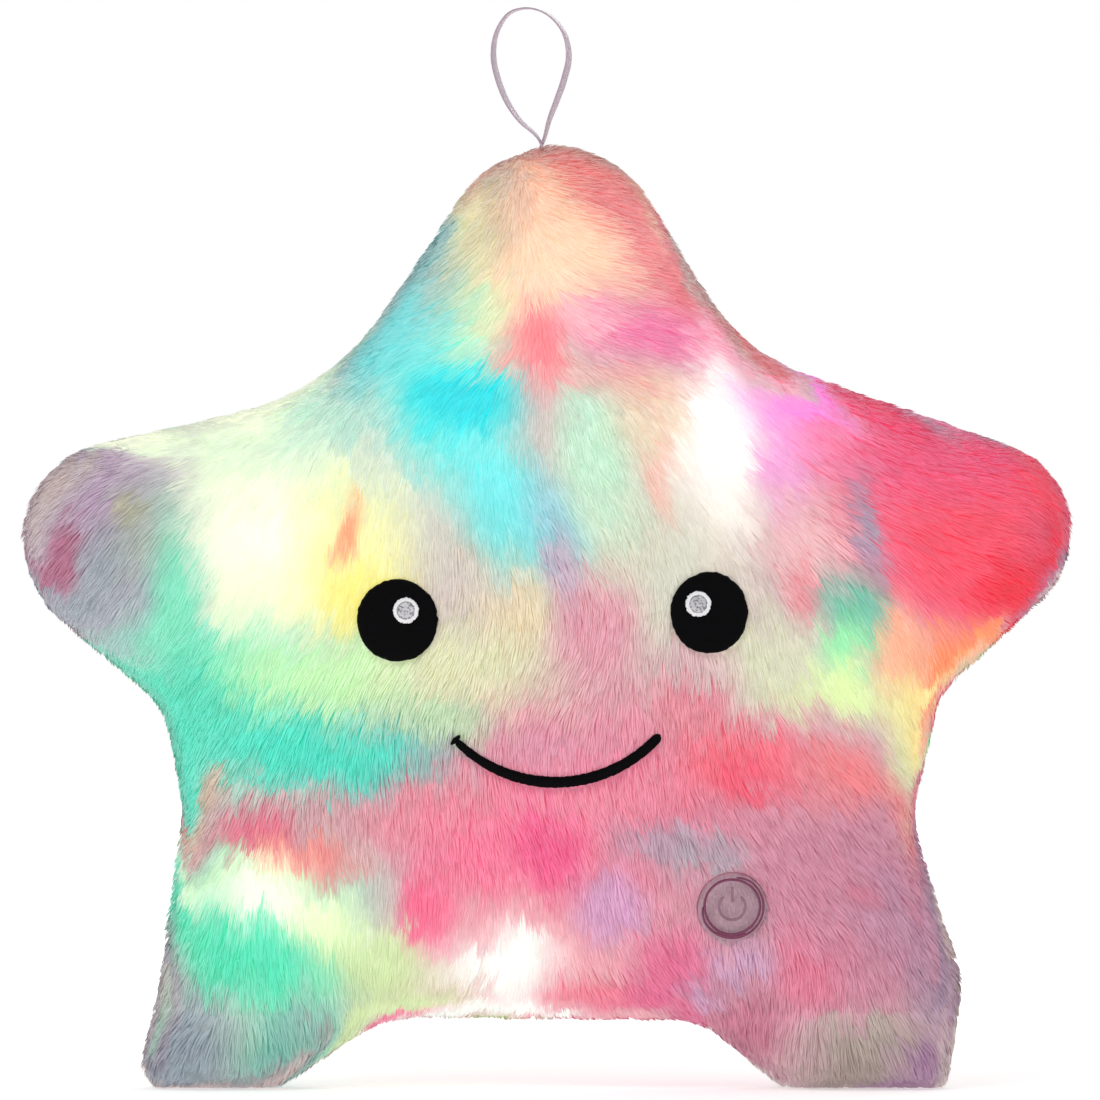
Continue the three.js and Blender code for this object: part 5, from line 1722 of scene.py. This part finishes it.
@dataclass(frozen=True)
class Covers:
    """The star's two furry panels, which meet in one seam."""

    form: StarForm
    switch: PressSwitch
    face: "Face"
    cloth: float = 1.2
    fill: float = 0.6
    slot_half_length: float = 50
    slot_half_height: float = 6
    hem: float = 2.2
    hem_rows: int = 5
    hole_gap: float = 1.6
    hole_search: float = 24
    patch_clear: float = 0.4
    patch_free: float = 0.3
    patch_zone: float = 9
    patch_short: float = 0.5
    eye_lap: float = 0.8
    smile_lap: float = 0.6
    slot_clear: float = 8
    slot_free: float = 0.4
    slot_zone: float = 20
    slot_short: float = 0.4
    slot_end: float = 6
    splay: float = 0.35
    seam_zone: Pair = (3, 22)
    # Where the painted shade along the seam fades out; rim_start also sets where the strands splay
    # outwards.
    rim_start: float = 3.2
    rim_width: float = 7
    strands: int = 130000
    strips: int = 4
    lap: float = 1.3
    back_glow: float = 0.2
    front_dye: Dye = Dye()
    back_dye: Dye = Dye(warp=17, glow=0.3)

    def shell(self, side: Side) -> Shell:
        """The cloth's surface on one side."""
        return Shell(self.form, side)

    def slot_edge(self, directions: Array) -> Array:
        """Finds the edge of the zip's long round-ended hole in the back.

        Args:
            directions: Directions from its middle, of length 1.

        Returns:
            The place of the edge in each.
        """
        straight = self.slot_half_length - self.slot_half_height
        x, z = np.abs(directions).T
        flat = self.slot_half_height / np.maximum(z, SMALLER)
        root = np.sqrt(np.maximum(self.slot_half_height**2 - (straight * z) ** 2, 0))
        far = np.where(flat * x <= straight, flat, straight * x + root)
        return np.array([0, self.form.pad_middle]) + directions * far[:, None]

    def build(self) -> None:
        """Makes the cloth and the fur of both sides."""
        for side in Side:
            shell = self.shell(side)
            front = side is Side.FRONT
            dye = self.front_dye if front else self.back_dye
            name = f"{side.name.lower()}_cloth"
            corners, faces = shell.loft(shell.pinhole if front else self.slot_edge)
            if front:
                cloth = self.cut_front(name, shell, corners, faces)
            else:
                cloth = self.cut_back(name, shell, corners)
            thicken(cloth, self.cloth)
            self.colour(cloth, dye)
            dress(cloth, Backing())
            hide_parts("front_cover" if front else "back_cover")
            self.furnish(shell, dye, corners, faces)
            LOG.info("%s panel made", side.name.lower())

    def cut_back(self, name: str, shell: Shell, corners: Array) -> Piece:
        """Makes the back's cloth, with a rolled hem round the zip's hole.

        Args:
            name: The piece's name.
            shell: The back's surface.
            corners: Its corners, up to the hole.

        Returns:
            The open cloth.
        """
        last = corners[-shell.rays :]
        middle = np.array([0, last[:, 1].mean(), self.form.pad_middle])
        inward = unit((middle - last) * np.array([1, 0, 1]))
        half = self.hem / 2
        rolled = [
            last + inward * half * math.sin(turn) - np.array([0, half * (1 - math.cos(turn)), 0])
            for turn in np.linspace(0, math.pi, self.hem_rows + 1)[1:]
        ]
        quads = grid_faces(shell.rings + self.hem_rows, shell.rays)[:, ::-1]
        return mesh(name, np.concatenate([corners, *rolled]), [quads])

    def cut_front(self, name: str, shell: Shell, corners: Array, faces: Array) -> Piece:
        """Makes the front's cloth, with a round hole for the press patch.

        Args:
            name: The piece's name.
            shell: The front's surface.
            corners: Its corners.
            faces: Its faces.

        Returns:
            The open cloth.
        """
        off = np.linalg.norm(corners[:, (0, 2)] - np.array(self.switch.middle), axis=1)
        kept = faces[(off[faces] > self.switch.hole_radius + self.hole_gap).all(1)]
        piece = mesh(name, corners, [kept])
        turn = circle(self.switch.corners_round)
        edge = self.switch.spot(np.full(len(turn), self.switch.hole_radius), turn)
        work = bmesh.new()
        work.from_mesh(piece.data)
        bmesh.ops.delete(work, geom=[v for v in work.verts if not v.link_faces], context="VERTS")
        x, z = (place * MM for place in self.switch.middle)
        jagged = [
            e for e in work.edges
            if e.is_boundary
            and all(math.hypot(v.co.x - x, v.co.z - z) < self.hole_search * MM for v in e.verts)
        ]
        made = [work.verts.new(place) for place in shell.place(edge) * MM]
        ring = [work.edges.new((a, b)) for a, b in zip(made, made[1:] + made[:1])]
        bmesh.ops.bridge_loops(work, edges=jagged + ring)
        work.to_mesh(piece.data)
        work.free()
        return piece

    @staticmethod
    def colour(piece: Piece, dye: Dye) -> None:
        """Stores the dye and the glow on a cloth's corners.

        Args:
            piece: The cloth.
            dye: Its dye.
        """
        places = np.empty(len(piece.data.vertices) * 3, dtype=np.float32)
        piece.data.vertices.foreach_get("co", places)
        store(piece.data, dye.values(places.reshape(-1, 3) / MM))

    def front_room(self, places: Array) -> tuple[Array, Array]:
        """Leaves out the patch, the eyes and the smile.

        Args:
            places: Where strands could start.

        Returns:
            Whether each may, and how long it is for that, as a share.
        """
        radius = self.switch.hole_radius
        off = np.linalg.norm(places - np.array(self.switch.middle), axis=1)
        keep = off > radius + self.patch_clear
        for eye in self.face.eyes:
            away = np.hypot(places[:, 0] - eye.across, places[:, 1] - eye.up)
            keep &= away > eye.half_width - self.eye_lap
        middle, arc, sweep = self.face.smile_arc()
        offset = places - middle
        half = self.face.smile_thread / 2 - self.smile_lap
        over = np.abs(np.linalg.norm(offset, axis=1) - arc) < half
        keep &= ~(over & (np.abs(offset[:, 0]) < arc * math.sin(sweep)) & (offset[:, 1] < 0))
        full = smooth(off, radius, radius + self.patch_zone)
        return keep, self.patch_short + (1 - self.patch_short) * full

    def back_room(self, places: Array) -> tuple[Array, Array]:
        """Leaves out the zip's hole.

        Args:
            places: Where strands could start.

        Returns:
            Whether each may, and how long it is for that, as a share.
        """
        beyond = np.maximum(np.abs(places[:, 0]) - self.slot_half_length + self.slot_end, 0)
        off = np.hypot(beyond, places[:, 1] - self.form.pad_middle)
        full = smooth(off, self.slot_clear, self.slot_zone)
        return off > self.slot_clear, self.slot_short + (1 - self.slot_short) * full

    def furnish(self, shell: Shell, dye: Dye, corners: Array, faces: Array) -> None:
        """Grows the fur of one side, in strips from left to right.

        Args:
            shell: The side's cloth.
            dye: Its dye.
            corners: The cloth's corners.
            faces: Its faces.
        """
        front = shell.side is Side.FRONT
        count = self.strands
        roots = scatter(corners, faces, count, 60 + shell.side.value)
        keep, size = (self.front_room if front else self.back_room)(roots[:, (0, 2)])
        roots, size = roots[keep], size[keep]
        places = roots[:, (0, 2)]
        deep = self.form.inside(places)
        low = Pile.edge_length / Pile.length
        size = size * (low + (1 - low) * smooth(deep, *self.seam_zone))
        # How strongly the painted seam shade tints each strand.
        rim = 1 - smooth(deep, self.rim_start, self.rim_start + self.rim_width)
        normals = shell.normal(places)
        splay = np.array([0, shell.side.value * self.splay, 0])
        outwards = normals * np.array([1, 0, 1]) + splay
        near = (1 - smooth(deep, self.rim_start, self.rim_start + 1))[:, None]
        normals = unit(normals * (1 - near) + unit(outwards) * near)
        pile = Pile(half_width=Pile.half_width)
        reach = self.front_reach if front else self.back_reach
        cuts = np.quantile(roots[:, 0], np.linspace(0, 1, self.strips + 1))
        for strip in range(self.strips):
            last = strip == self.strips - 1
            part = (roots[:, 0] >= cuts[strip]) & ((roots[:, 0] < cuts[strip + 1]) | last)
            name = f"{shell.side.name.lower()}_fur_{strip + 1}"
            own = (roots[part], normals[part], size[part])
            fur = pile.grow(name, *own, dye, rim[part], 70 + strip, reach)
            dress(fur, Fur(glow=Fur.glow if front else self.back_glow))

    def front_reach(self, starts: Array, runs: Array, draw: Draw) -> Array:
        """Stops strands at the press patch, and just over the edge of the stitches.

        Args:
            starts: Where the strands start.
            runs: Where they lead, from there.
            draw: Makes them lap over the stitches unevenly.

        Returns:
            The share of each strand that lies free.
        """
        face = self.face
        hole = np.full(len(starts), self.switch.hole_radius + self.patch_free)
        free = meets(starts, runs, self.switch.middle, hole)
        lap = draw.uniform(0, 1, len(starts)) ** 2 * self.lap
        for eye in face.eyes:
            over = meets(starts, runs, (eye.across, eye.up), eye.half_height - lap)
            free = np.minimum(free, over)
        middle, radius, sweep = face.smile_arc()
        upper = meets(starts, runs, middle, radius - face.smile_thread / 2 + lap)
        crossing = starts + runs * upper[:, None] - middle
        on = (np.abs(crossing[:, 0]) < radius * math.sin(sweep)) & (crossing[:, 1] < 0)
        above = np.linalg.norm(starts - middle, axis=1) < radius
        return np.minimum(free, np.where(on & above, upper, 1))

    def back_reach(self, starts: Array, runs: Array, _: Draw) -> Array:
        """Stops strands at the upper edge of the zip's slot.

        Args:
            starts: Where the strands start.
            runs: Where they lead, from there.

        Returns:
            The share of each strand that lies free.
        """
        edge = self.form.pad_middle + self.slot_half_height + self.slot_free
        share = (starts[:, 1] - edge) / np.maximum(-runs[:, 1], SMALL)
        crossed = (runs[:, 1] < 0) & (share > 0) & (share < 1)
        on = np.abs(starts[:, 0] + runs[:, 0] * share) < self.slot_half_length
        return np.where(crossed & on, share, 1)


@dataclass(frozen=True)
class Eye:
    """One sewn eye, with the place of its glint from its middle."""

    name: str
    across: float
    up: float
    glint_across: float
    glint_up: float
    half_width: float
    half_height: float


@dataclass(frozen=True)
class Face:
    """The sewn eyes and smile."""

    eyes: Sequence[Eye] = (
        Eye("left_eye", -57.1, 178.9, 3.2, 3.7, 15.3, 15.6),
        Eye("right_eye", 60.8, 181.8, -4.2, 3.3, 14.7, 15.4),
    )
    eye_height: float = 1.7
    eye_lift: float = 0.3
    glint_radius: float = 4.9
    glint_middle: float = 3.5
    glint_height: float = 0.8
    glint_lift: float = 0.2
    gap_height: float = 0.34
    middle_height: float = 0.46
    middle_share: float = 0.9
    ragged: Sequence[float] = (0.006, 0.022, 0.03, 0.05)
    dome: Pair = (0.8, 0.02)
    dome_rise: float = 0.12
    dome_rings: int = 22
    smile_half_width: float = 38.7
    smile_sag: float = 17
    smile_across: float = 4
    smile_low: float = 117.7
    smile_turn: float = 1.5
    smile_thread: float = 4.3
    smile_ends: tuple[float, float, float] = (0.7, 1, 0.9)
    smile_height: float = 1.3
    tick_length: float = 5
    tick_thread: float = 1.7
    tick_ends: tuple[float, float, float] = (0.5, 1.2, 0.4)
    bank_lift: float = 0.45
    sunk: float = 0.7
    corners_round: int = 120
    pad_rim: Sequence[Pair] = (
        (1, -0.4), (1, 0.2), (0.985, 0.62), (0.95, 0.9), (0.88, 1.0),
    )

    def smile_arc(self) -> tuple[Array, float, float]:
        """Finds the circle that the smile is a part of.

        Returns:
            Its middle, its radius, and half the angle that the smile takes.
        """
        radius = (self.smile_half_width**2 + self.smile_sag**2) / (2 * self.smile_sag)
        turn = math.radians(self.smile_turn)
        across = self.smile_across - radius * math.sin(turn)
        middle = np.array([across, self.smile_low + radius * math.cos(turn)])
        return middle, radius, math.asin(self.smile_half_width / radius)

    def build(self, shell: Shell) -> None:
        """Makes both eyes with their glints, and the smile.

        Args:
            shell: The front's cloth.
        """
        black = Stitch("black_thread")
        white = Stitch("glint_thread", "#f0eff2", "#ffffff", 0.4, 20, 0.3, 0.3)
        grey = Stitch("glint_thread", "#7d7b80", "#a9a7ad", 0.4, 20, 0.4, 0.2)
        speckled = Weave("glint_thread", "#a5a3a9", "#e6e4e8", 0.5, 0.5, 0.5, 0.75)
        low = self.eye_lift - self.sunk
        lift = self.eye_height + self.glint_lift - self.sunk
        over = lift + self.glint_height * 0.75
        inner = self.glint_middle
        gap, core = ((radius,) * 2 for radius in (inner, inner * self.middle_share))
        for eye in self.eyes:
            middle = np.array([eye.across, eye.up])
            glint = middle + np.array([eye.glint_across, eye.glint_up])
            whole, edge = (eye.half_width, eye.half_height), (self.glint_radius,) * 2
            pads = (
                ("_sewn", middle, whole, self.eye_height, low, black, eye.name),
                ("_glint_sewn", glint, edge, self.glint_height, lift, white, eye.name + "_glint"),
                ("_glint_gap", glint, gap, self.gap_height, over, grey, None),
                ("_glint_middle", glint, core, self.middle_height, over, speckled, None),
            )
            for ragged, pad in zip(self.ragged, pads):
                end, place, size, height, rise, finish, packed = pad
                made = self.pad(shell, eye.name + end, place, size, height, rise, ragged)
                dress(made, finish)
                if packed:
                    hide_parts(packed)
        self.smile(shell, black)
        LOG.info("face made")

    def pad(
        self, shell: Shell, name: str, middle: Array, size: Pair,
        height: float, lift: float, ragged: float,
    ) -> Piece:
        """Makes a low round cushion of stitches, with a rolled, slightly ragged edge.

        Args:
            shell: The front's cloth.
            name: The piece's name.
            middle: Its place.
            size: Half its width and height.
            height: How thick it is.
            lift: How far it starts over the outer surface.
            ragged: How uneven its edge is, as a share of its size.

        Returns:
            The mesh object, without a finish.
        """
        sides = self.corners_round
        turn = circle(sides)
        rough = np.random.default_rng(len(name)).normal(0, ragged, sides // 2).repeat(2)
        wave = 0.006 * np.sin(turn * 5) + 0.004 * np.sin(turn * 11 + 1)
        edge = np.array(size) * (1 + wave + rough)[:, None]
        shares = np.linspace(*self.dome, self.dome_rings)
        profile = [*self.pad_rim, *((share, 1.0 + self.dome_rise * (1 - share)) for share in shares)]
        corners = np.concatenate([
            shell.place(middle + round_ways(turn) * edge * share, lift + height * up, 0)
            for share, up in profile
        ])
        last = len(corners) - sides
        caps = [np.arange(last, len(corners))[None], np.arange(sides)[None, ::-1]]
        return mesh(name, corners, [grid_faces(len(profile), sides), *caps])

    def smile(self, shell: Shell, finish: Finish) -> None:
        """Makes the curved mouth and the short cross stroke at its left end.

        Args:
            shell: The front's cloth.
            finish: Their thread.
        """
        middle, radius, sweep = self.smile_arc()
        low = math.radians(self.smile_turn) - math.pi / 2
        arc = middle + radius * round_ways(np.linspace(low - sweep, low + sweep, 110))
        half = self.tick_length / 2
        tick = arc[0] + unit(arc[0] - middle) * np.linspace(-half, half, 18)[:, None]
        mouth = self.bank(shell, "smile_sewn", arc, self.smile_thread, self.smile_ends, finish)
        self.bank(shell, "smile_tick_sewn", tick, self.tick_thread, self.tick_ends, finish)
        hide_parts("smile")

    def bank(
        self, shell: Shell, name: str, places: Array, thread: float,
        shares: Sequence[float], finish: Finish,
    ) -> Piece:
        """Makes a half-round bank of stitches.

        Args:
            shell: The front's cloth.
            name: The piece's name.
            places: Where it runs.
            thread: Its width.
            shares: Its width at the start, the middle and the end, as shares of the thread's.
            finish: Its thread.

        Returns:
            The piece, dressed.
        """
        path = shell.place(places, self.bank_lift - self.sunk, 0)
        across = np.cross(unit(np.gradient(path, axis=0)), shell.normal(places))
        run = np.linspace(-1, 1, len(places))
        rough = 1 + np.random.default_rng(3).normal(0, 0.035, len(places))
        start, full, end = shares
        swell = np.interp(run, (-1, -0.3, 0.3, 1), (start, full, full, end)) * rough
        width = thread / 2 * swell * np.clip((1 - np.abs(run) ** 24) ** 0.5 + 0.12, 0, 1)
        height = np.full(len(path), self.smile_height)
        corners, faces = tube(path, across, width, height, 14, 0.85)
        return dress(mesh(name, corners, faces), finish)


@dataclass(frozen=True)
class HangLoop:
    """A satin ribbon doubled into a loop, sewn into the top of the seam."""

    pivot: Pair = (-5, 366.27)
    ribbon: float = 8.8
    thickness: float = 0.75
    twist: float = 13
    lean: float = 1.1
    squareness: float = 0.35
    points: int = 160
    bend: Pair = (0.3605, 0.3675)
    knots: Sequence[Pair] = (
        (4.2, -12), (1.2, -3.6), (-6, 3.4), (-10.8, 10.5), (-14.2, 19), (-16, 28), (-14.3, 38),
        (-9.4, 44.6), (-2.8, 46.2), (4.2, 44.2), (10.4, 38), (12.8, 28), (11, 19), (8, 10.5),
        (5.3, 3.4), (3.4, -3.6), (-0.4, -12),
    )

    def build(self) -> None:
        """Makes the ribbon."""
        knots = np.array(self.knots) + np.array([0, self.pivot[1]])
        run = np.concatenate([[0], np.cumsum(np.linalg.norm(np.diff(knots, axis=0), axis=1))])
        fine = np.linspace(0, run[-1], self.points)
        x, z = (self.curve(run, knots[:, axis], fine) for axis in (0, 1))
        share = np.linspace(-1, 1, self.points)
        path = np.stack([x + self.pivot[0], share * self.lean, z], 1)
        along = unit(np.gradient(path, axis=0))
        turn = math.radians(self.twist) * np.sin(share * math.pi)[:, None]
        across = np.cos(turn) * np.array([0, 1, 0]) + np.sin(turn) * np.cross(along, (0, 1, 0))
        halves = (np.full(self.points, size / 2) for size in (self.ribbon, self.thickness))
        corners, faces = tube(path, across, *halves, 16, self.squareness)
        satin = Weave("ribbon", "#a08496", "#dcc8d6", 0.3, 0.45, 0.32)
        ribbon = dress(mesh("hang_ribbon", corners, faces), satin, None)
        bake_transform(ribbon)
        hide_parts("hang_loop", "loop_root")
        LOG.info("hang loop made")

    @staticmethod
    def curve(run: Array, values: Array, fine: Array) -> Array:
        """Leads a smooth curve through knots.

        Args:
            run: How far along the knots lie.
            values: What they hold.
            fine: How far along the wanted places lie.

        Returns:
            The curve's values there.
        """
        slope = np.gradient(values, run)
        part = np.clip(np.searchsorted(run, fine, side="right") - 1, 0, len(run) - 2)
        span = run[part + 1] - run[part]
        t = (fine - run[part]) / span
        after = 3 * t**2 - 2 * t**3
        leaving = (t**3 - 2 * t**2 + t) * span * slope[part]
        arriving = (t**3 - t**2) * span * slope[part + 1]
        return (1 - after) * values[part] + leaving + after * values[part + 1] + arriving


@dataclass(frozen=True)
class Stuffing:
    """Loose fibre filling that keeps clear of the cloth and of what sits in it."""

    switch: PressSwitch
    fill: float = 0.35
    draw_in: float = 2.3
    well_depth: float = 3.4
    well_rim: float = 9
    front_half: float = -20
    tuft: float = 0.7
    tuft_size: float = 16
    edge: float = 9

    def build(self) -> None:
        """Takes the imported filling's shape, refines it and roughens it inwards."""
        work = bmesh.new()
        work.from_mesh(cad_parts["fibre_fill"].data)
        bmesh.ops.remove_doubles(work, verts=work.verts, dist=0.01 * MM)
        for _ in range(2):
            long = [e for e in work.edges if e.calc_length() > self.edge * MM]
            bmesh.ops.subdivide_edges(work, edges=long, cuts=1)
            bmesh.ops.triangulate(work, faces=[f for f in work.faces if len(f.verts) > 3])
        work.normal_update()
        x, y, z = (np.array([v.co for v in work.verts]) / MM).T
        tufts = Grain(81, self.tuft_size, 3).at(x + y * 0.7, z - y * 0.5)
        near = np.hypot(x - self.switch.middle[0], z - self.switch.middle[1])
        rim = self.switch.hole_radius
        sunk = (1 - smooth(near, rim, rim + self.well_rim)) * (y < self.front_half)
        for vert, tuft, share in zip(work.verts, tufts, sunk):
            vert.co -= vert.normal * (self.draw_in + self.tuft * max(tuft, -1)) * MM
            vert.co.y += share * self.well_depth * MM
        data = bpy.data.meshes.new("stuffing")
        work.to_mesh(data)
        work.free()
        data.shade_smooth()
        piece = dress(laid("stuffing", data), Wadding())
        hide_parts("fibre_fill")
        LOG.info("stuffing made")


@dataclass(frozen=True)
class ZipRun:
    """Woven tapes of the battery pocket's zip; teeth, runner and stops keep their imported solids."""

    columns: int = 90
    rows: int = 9
    ripple: float = 0.12
    cloth: float = 0.8

    def build(self) -> None:
        """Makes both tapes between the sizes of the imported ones."""
        for end in ("upper", "lower"):
            low, high = (np.array(side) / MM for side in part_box(f"zip_tape_{end}"))
            columns = np.linspace(low[0], high[0], self.columns)
            x, z = np.meshgrid(columns, np.linspace(low[2], high[2], self.rows))
            wave = np.sin(x * 0.9) * np.sin((z - low[2]) * 0.5) * self.ripple
            y = high[1] - self.ripple + wave - self.ripple
            corners = np.stack([x.ravel(), y.ravel(), z.ravel()], 1)
            quads = grid_faces(self.rows, self.columns, False)
            tape = mesh(f"zip_tape_{end}_cloth", corners, [quads])
            thicken(tape, min(high[1] - low[1], self.cloth))
            dress(tape, Weave("zip_cloth", "#9a7f93", "#c9b3c4", 0.35, 0.35, 0.7))
            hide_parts(f"zip_tape_{end}")
        LOG.info("zip tapes made")


@dataclass(frozen=True)
class BatteryPouch:
    """The lining bag behind the zip, which holds the battery box."""

    rings: int = 26
    sides: int = 120
    square: float = 0.3
    wall: float = 0.6
    wrinkle: float = 0.35
    corner: float = 3
    corner_start: float = 0.3
    corner_rings: int = 5
    corner_draw: float = 0.06
    floor_shares: Sequence[float] = (0.8, 0.55, 0.3, 0.05)

    def profile(self, mouth: float, end: float) -> list[Pair]:
        """Runs down the bag's wall, round its far edge and in over its floor.

        Args:
            mouth: Where the open end lies in depth.
            end: Where the closed end lies.

        Returns:
            The depth of each ring, with its size as a share.
        """
        wall = np.linspace(0, mouth - end - self.corner, self.rings)
        bend = np.linspace(self.corner_start, math.pi / 2, self.corner_rings)
        return [
            *((mouth - step, 1.0) for step in wall),
            *(
                (end + self.corner * (1 - math.sin(t)), 1 - self.corner_draw * (1 - math.cos(t)))
                for t in bend
            ),
            *((end, share) for share in self.floor_shares),
        ]

    def build(self) -> None:
        """Makes the bag: open at the zip, its far end closed with a rounded edge."""
        low, high = (np.array(side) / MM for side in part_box("battery_pouch"))
        middle, half = (low + high) / 2, (high - low) / 2
        turn = circle(self.sides)
        wide, tall = squared(turn, self.square)
        crease = Grain(91, 7, 2)
        rows = []
        profile = self.profile(high[1], low[1])
        for depth, share in profile:
            deep = np.full(self.sides, depth)
            pull = 1 - self.wrinkle / half[2] * (0.5 + 0.5 * crease.at(turn * 20, deep))
            x = middle[0] + wide * half[0] * share * (1 - self.wrinkle / half[0])
            rows.append(np.stack([x, deep, middle[2] + tall * half[2] * share * pull], 1))
        last = (len(profile) - 1) * self.sides
        faces = [grid_faces(len(profile), self.sides), np.arange(last, last + self.sides)[None]]
        bag = mesh("battery_pouch_bag", np.concatenate(rows), faces)
        thicken(bag, self.wall)
        dress(bag, Weave("pouch_cloth", "#8c8790", "#c4c0c8", 0.5, 0.5, 0.8))
        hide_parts("battery_pouch")
        LOG.info("battery pouch made")


@dataclass(frozen=True)
class InnerWorks:
    """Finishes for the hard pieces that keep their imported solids."""

    crease: float = 32

    def finishes(self) -> dict[str, Finish]:
        """Lists the finishes.

        Returns:
            The finish of each node, by the start of its name; longer starts win.
        """
        return {
            "lamp_": Resin(),
            "lamp_board_": Board(),
            "lamp_lead_": Plastic("lead_wire", "#b23a34", 0.4),
            "battery_lead": Plastic("lead_wire", "#26262a", 0.45),
            "button_cap": Plastic("white_plastic", "#e9e7e2", 0.36),
            "switch_case": Plastic("white_plastic", "#dedcd6", 0.44),
            "wire_gland": Plastic("soft_rubber", "#37363a", 0.7),
            "control_board": Board(),
            "control_chip": Plastic("dark_plastic", "#1b1c20", 0.5),
            "click_switch": Plastic("dark_plastic", "#24252b", 0.42),
            "click_stem": Plastic("stem_plastic", "#c9a23c", 0.38),
            "zip_teeth": Plastic("zip_nylon", "#b294a8", 0.4),
            "zip_stop": Metal("zip_metal", "#c2c2c6", 0.3),
            "zip_slider": Metal("zip_metal", "#bdbdc2", 0.24),
            "zip_pull": Metal("zip_metal", "#c6c6ca", 0.28),
            "battery_tray": Plastic("box_plastic", "#2d2e33", 0.48),
            "battery_lid": Plastic("box_plastic", "#303137", 0.5),
            "battery_cell": Wrap(),
            "lid_screw": Metal("steel", "#a8a9ad", 0.34),
            "contact_": Metal("steel", "#c8c2b0", 0.22),
        }

    def build(self) -> None:
        """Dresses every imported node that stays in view."""
        finishes = self.finishes()
        for name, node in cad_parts.items():
            found = [start for start in finishes if name.startswith(start)]
            if found:
                node.data.materials.clear()
                node.data.materials.append(finishes[max(found, key=len)].material())
                node.data.shade_smooth()
                node.data.set_sharp_from_angle(angle=math.radians(self.crease))
        LOG.info("inner works dressed")


@dataclass(frozen=True)
class Studio:
    """The pale floor, the lamps and the camera, in metres."""

    eye: Place = (0.0006, -5.2, 0.2055)
    lens: float = 445.4
    sensor: float = 36
    target: Place = (0, 0, 0.17)
    world: float = 0.5
    key: float = 13.5
    fill: float = 4.5
    back: float = 10.8
    floor_half: float = 6
    floor_white: float = 0.86
    shadow_zone: Pair = (0.2, 0.9)
    floor_light: Pair = (0.42, 0.95)

    def build(self) -> None:
        """Sets up light, floor and camera."""
        self.light_world()
        self.lay_floor()
        self.lamp("key", (-0.9, -1.5, 1.5), 1.1, self.key, (1, 0.985, 0.96))
        self.lamp("fill", (1.3, -1.3, 0.7), 1.3, self.fill, (0.95, 0.98, 1))
        self.lamp("back_light", (0.3, 1.7, 1.2), 1.3, self.back, (1, 1, 1))
        lens = bpy.data.cameras.new("camera")
        lens.lens, lens.sensor_width, lens.clip_start = self.lens, self.sensor, 0.05
        camera = laid("camera", lens)
        camera.location = self.eye
        camera.rotation_euler = (math.pi / 2, 0, 0)
        scene = bpy.context.scene
        scene.camera = camera
        scene.view_settings.view_transform = "Standard"
        LOG.info("studio set up")

    def light_world(self) -> None:
        """Lights evenly with white, and shows a white backdrop to the camera and in gloss."""
        world = bpy.data.worlds.new("studio")
        graph = Graph(world)
        camera, gloss = (
            graph.node("ShaderNodeLightPath", output=f"Is {kind} Ray") for kind in ("Camera", "Glossy")
        )
        seen = graph.math("MAXIMUM", camera, gloss)
        soft, clear = (
            graph.node("ShaderNodeBackground", None, {"Color": (1, 1, 1), "Strength": strength})
            for strength in (self.world, 1)
        )
        mixed = graph.node("ShaderNodeMixShader", None, {0: seen, 1: soft, 2: clear})
        graph.node("ShaderNodeOutputWorld", None, {"Surface": mixed})
        bpy.context.scene.world = world

    def lay_floor(self) -> None:
        """Lays a white floor that keeps soft shadows near the star and is plain white far off."""
        half = self.floor_half / MM
        signs = ((-1, -1), (1, -1), (1, 1), (-1, 1))
        corners = np.array([(x * half, y * half, 0) for x, y in signs])
        floor = mesh("floor", corners, [np.array([[0, 1, 2, 3]])])
        graph = Graph(bpy.data.materials.new("floor_white"))
        white = graph.node("ShaderNodeBsdfDiffuse", None, {"Color": (self.floor_white,) * 3})
        x, y = (graph.part(graph.position(), axis) for axis in "XY")
        far = graph.math("SQRT", x * x + y * y)
        share = graph.eased(far, *self.shadow_zone, *self.floor_light)
        light = {"Color": graph.scaled((1.0, 1.0, 1.0), share), "Strength": 1.0}
        path = graph.node("ShaderNodeLightPath", output="Is Camera Ray")
        clear = graph.node("ShaderNodeBsdfTransparent")
        shaders = {0: path, 1: clear, 2: graph.node("ShaderNodeEmission", None, light)}
        glow = graph.node("ShaderNodeMixShader", None, shaders)
        both = graph.node("ShaderNodeAddShader", None, {0: white, 1: glow})
        graph.node("ShaderNodeOutputMaterial", None, {"Surface": both})
        floor.data.materials.append(graph.owner)

    def lamp(self, name: str, place: Place, size: float, power: float, colour: Colour) -> None:
        """Hangs a large soft lamp, turned towards the star.

        Args:
            name: Its name.
            place: Its place.
            size: Its width.
            power: Its power in watts.
            colour: Its colour.
        """
        light = bpy.data.lights.new(name, "AREA")
        light.size, light.energy, light.color = size, power, colour
        made = laid(name, light)
        made.location = place
        away = Vector(place) - Vector(self.target)
        made.rotation_euler = away.to_track_quat("Z", "Y").to_euler()


def main() -> None:
    """Builds every sub-assembly in turn."""
    logging.basicConfig(level=logging.INFO, format="%(name)s: %(message)s")
    form = StarForm()
    switch = PressSwitch()
    face = Face()
    covers = Covers(form, switch, face)
    covers.build()
    front = covers.shell(Side.FRONT)
    face.build(front)
    switch.build(front, covers.front_dye)
    HangLoop().build()
    Stuffing(switch).build()
    ZipRun().build()
    BatteryPouch().build()
    InnerWorks().build()
    Studio().build()


if __name__ == "__main__":
    main()
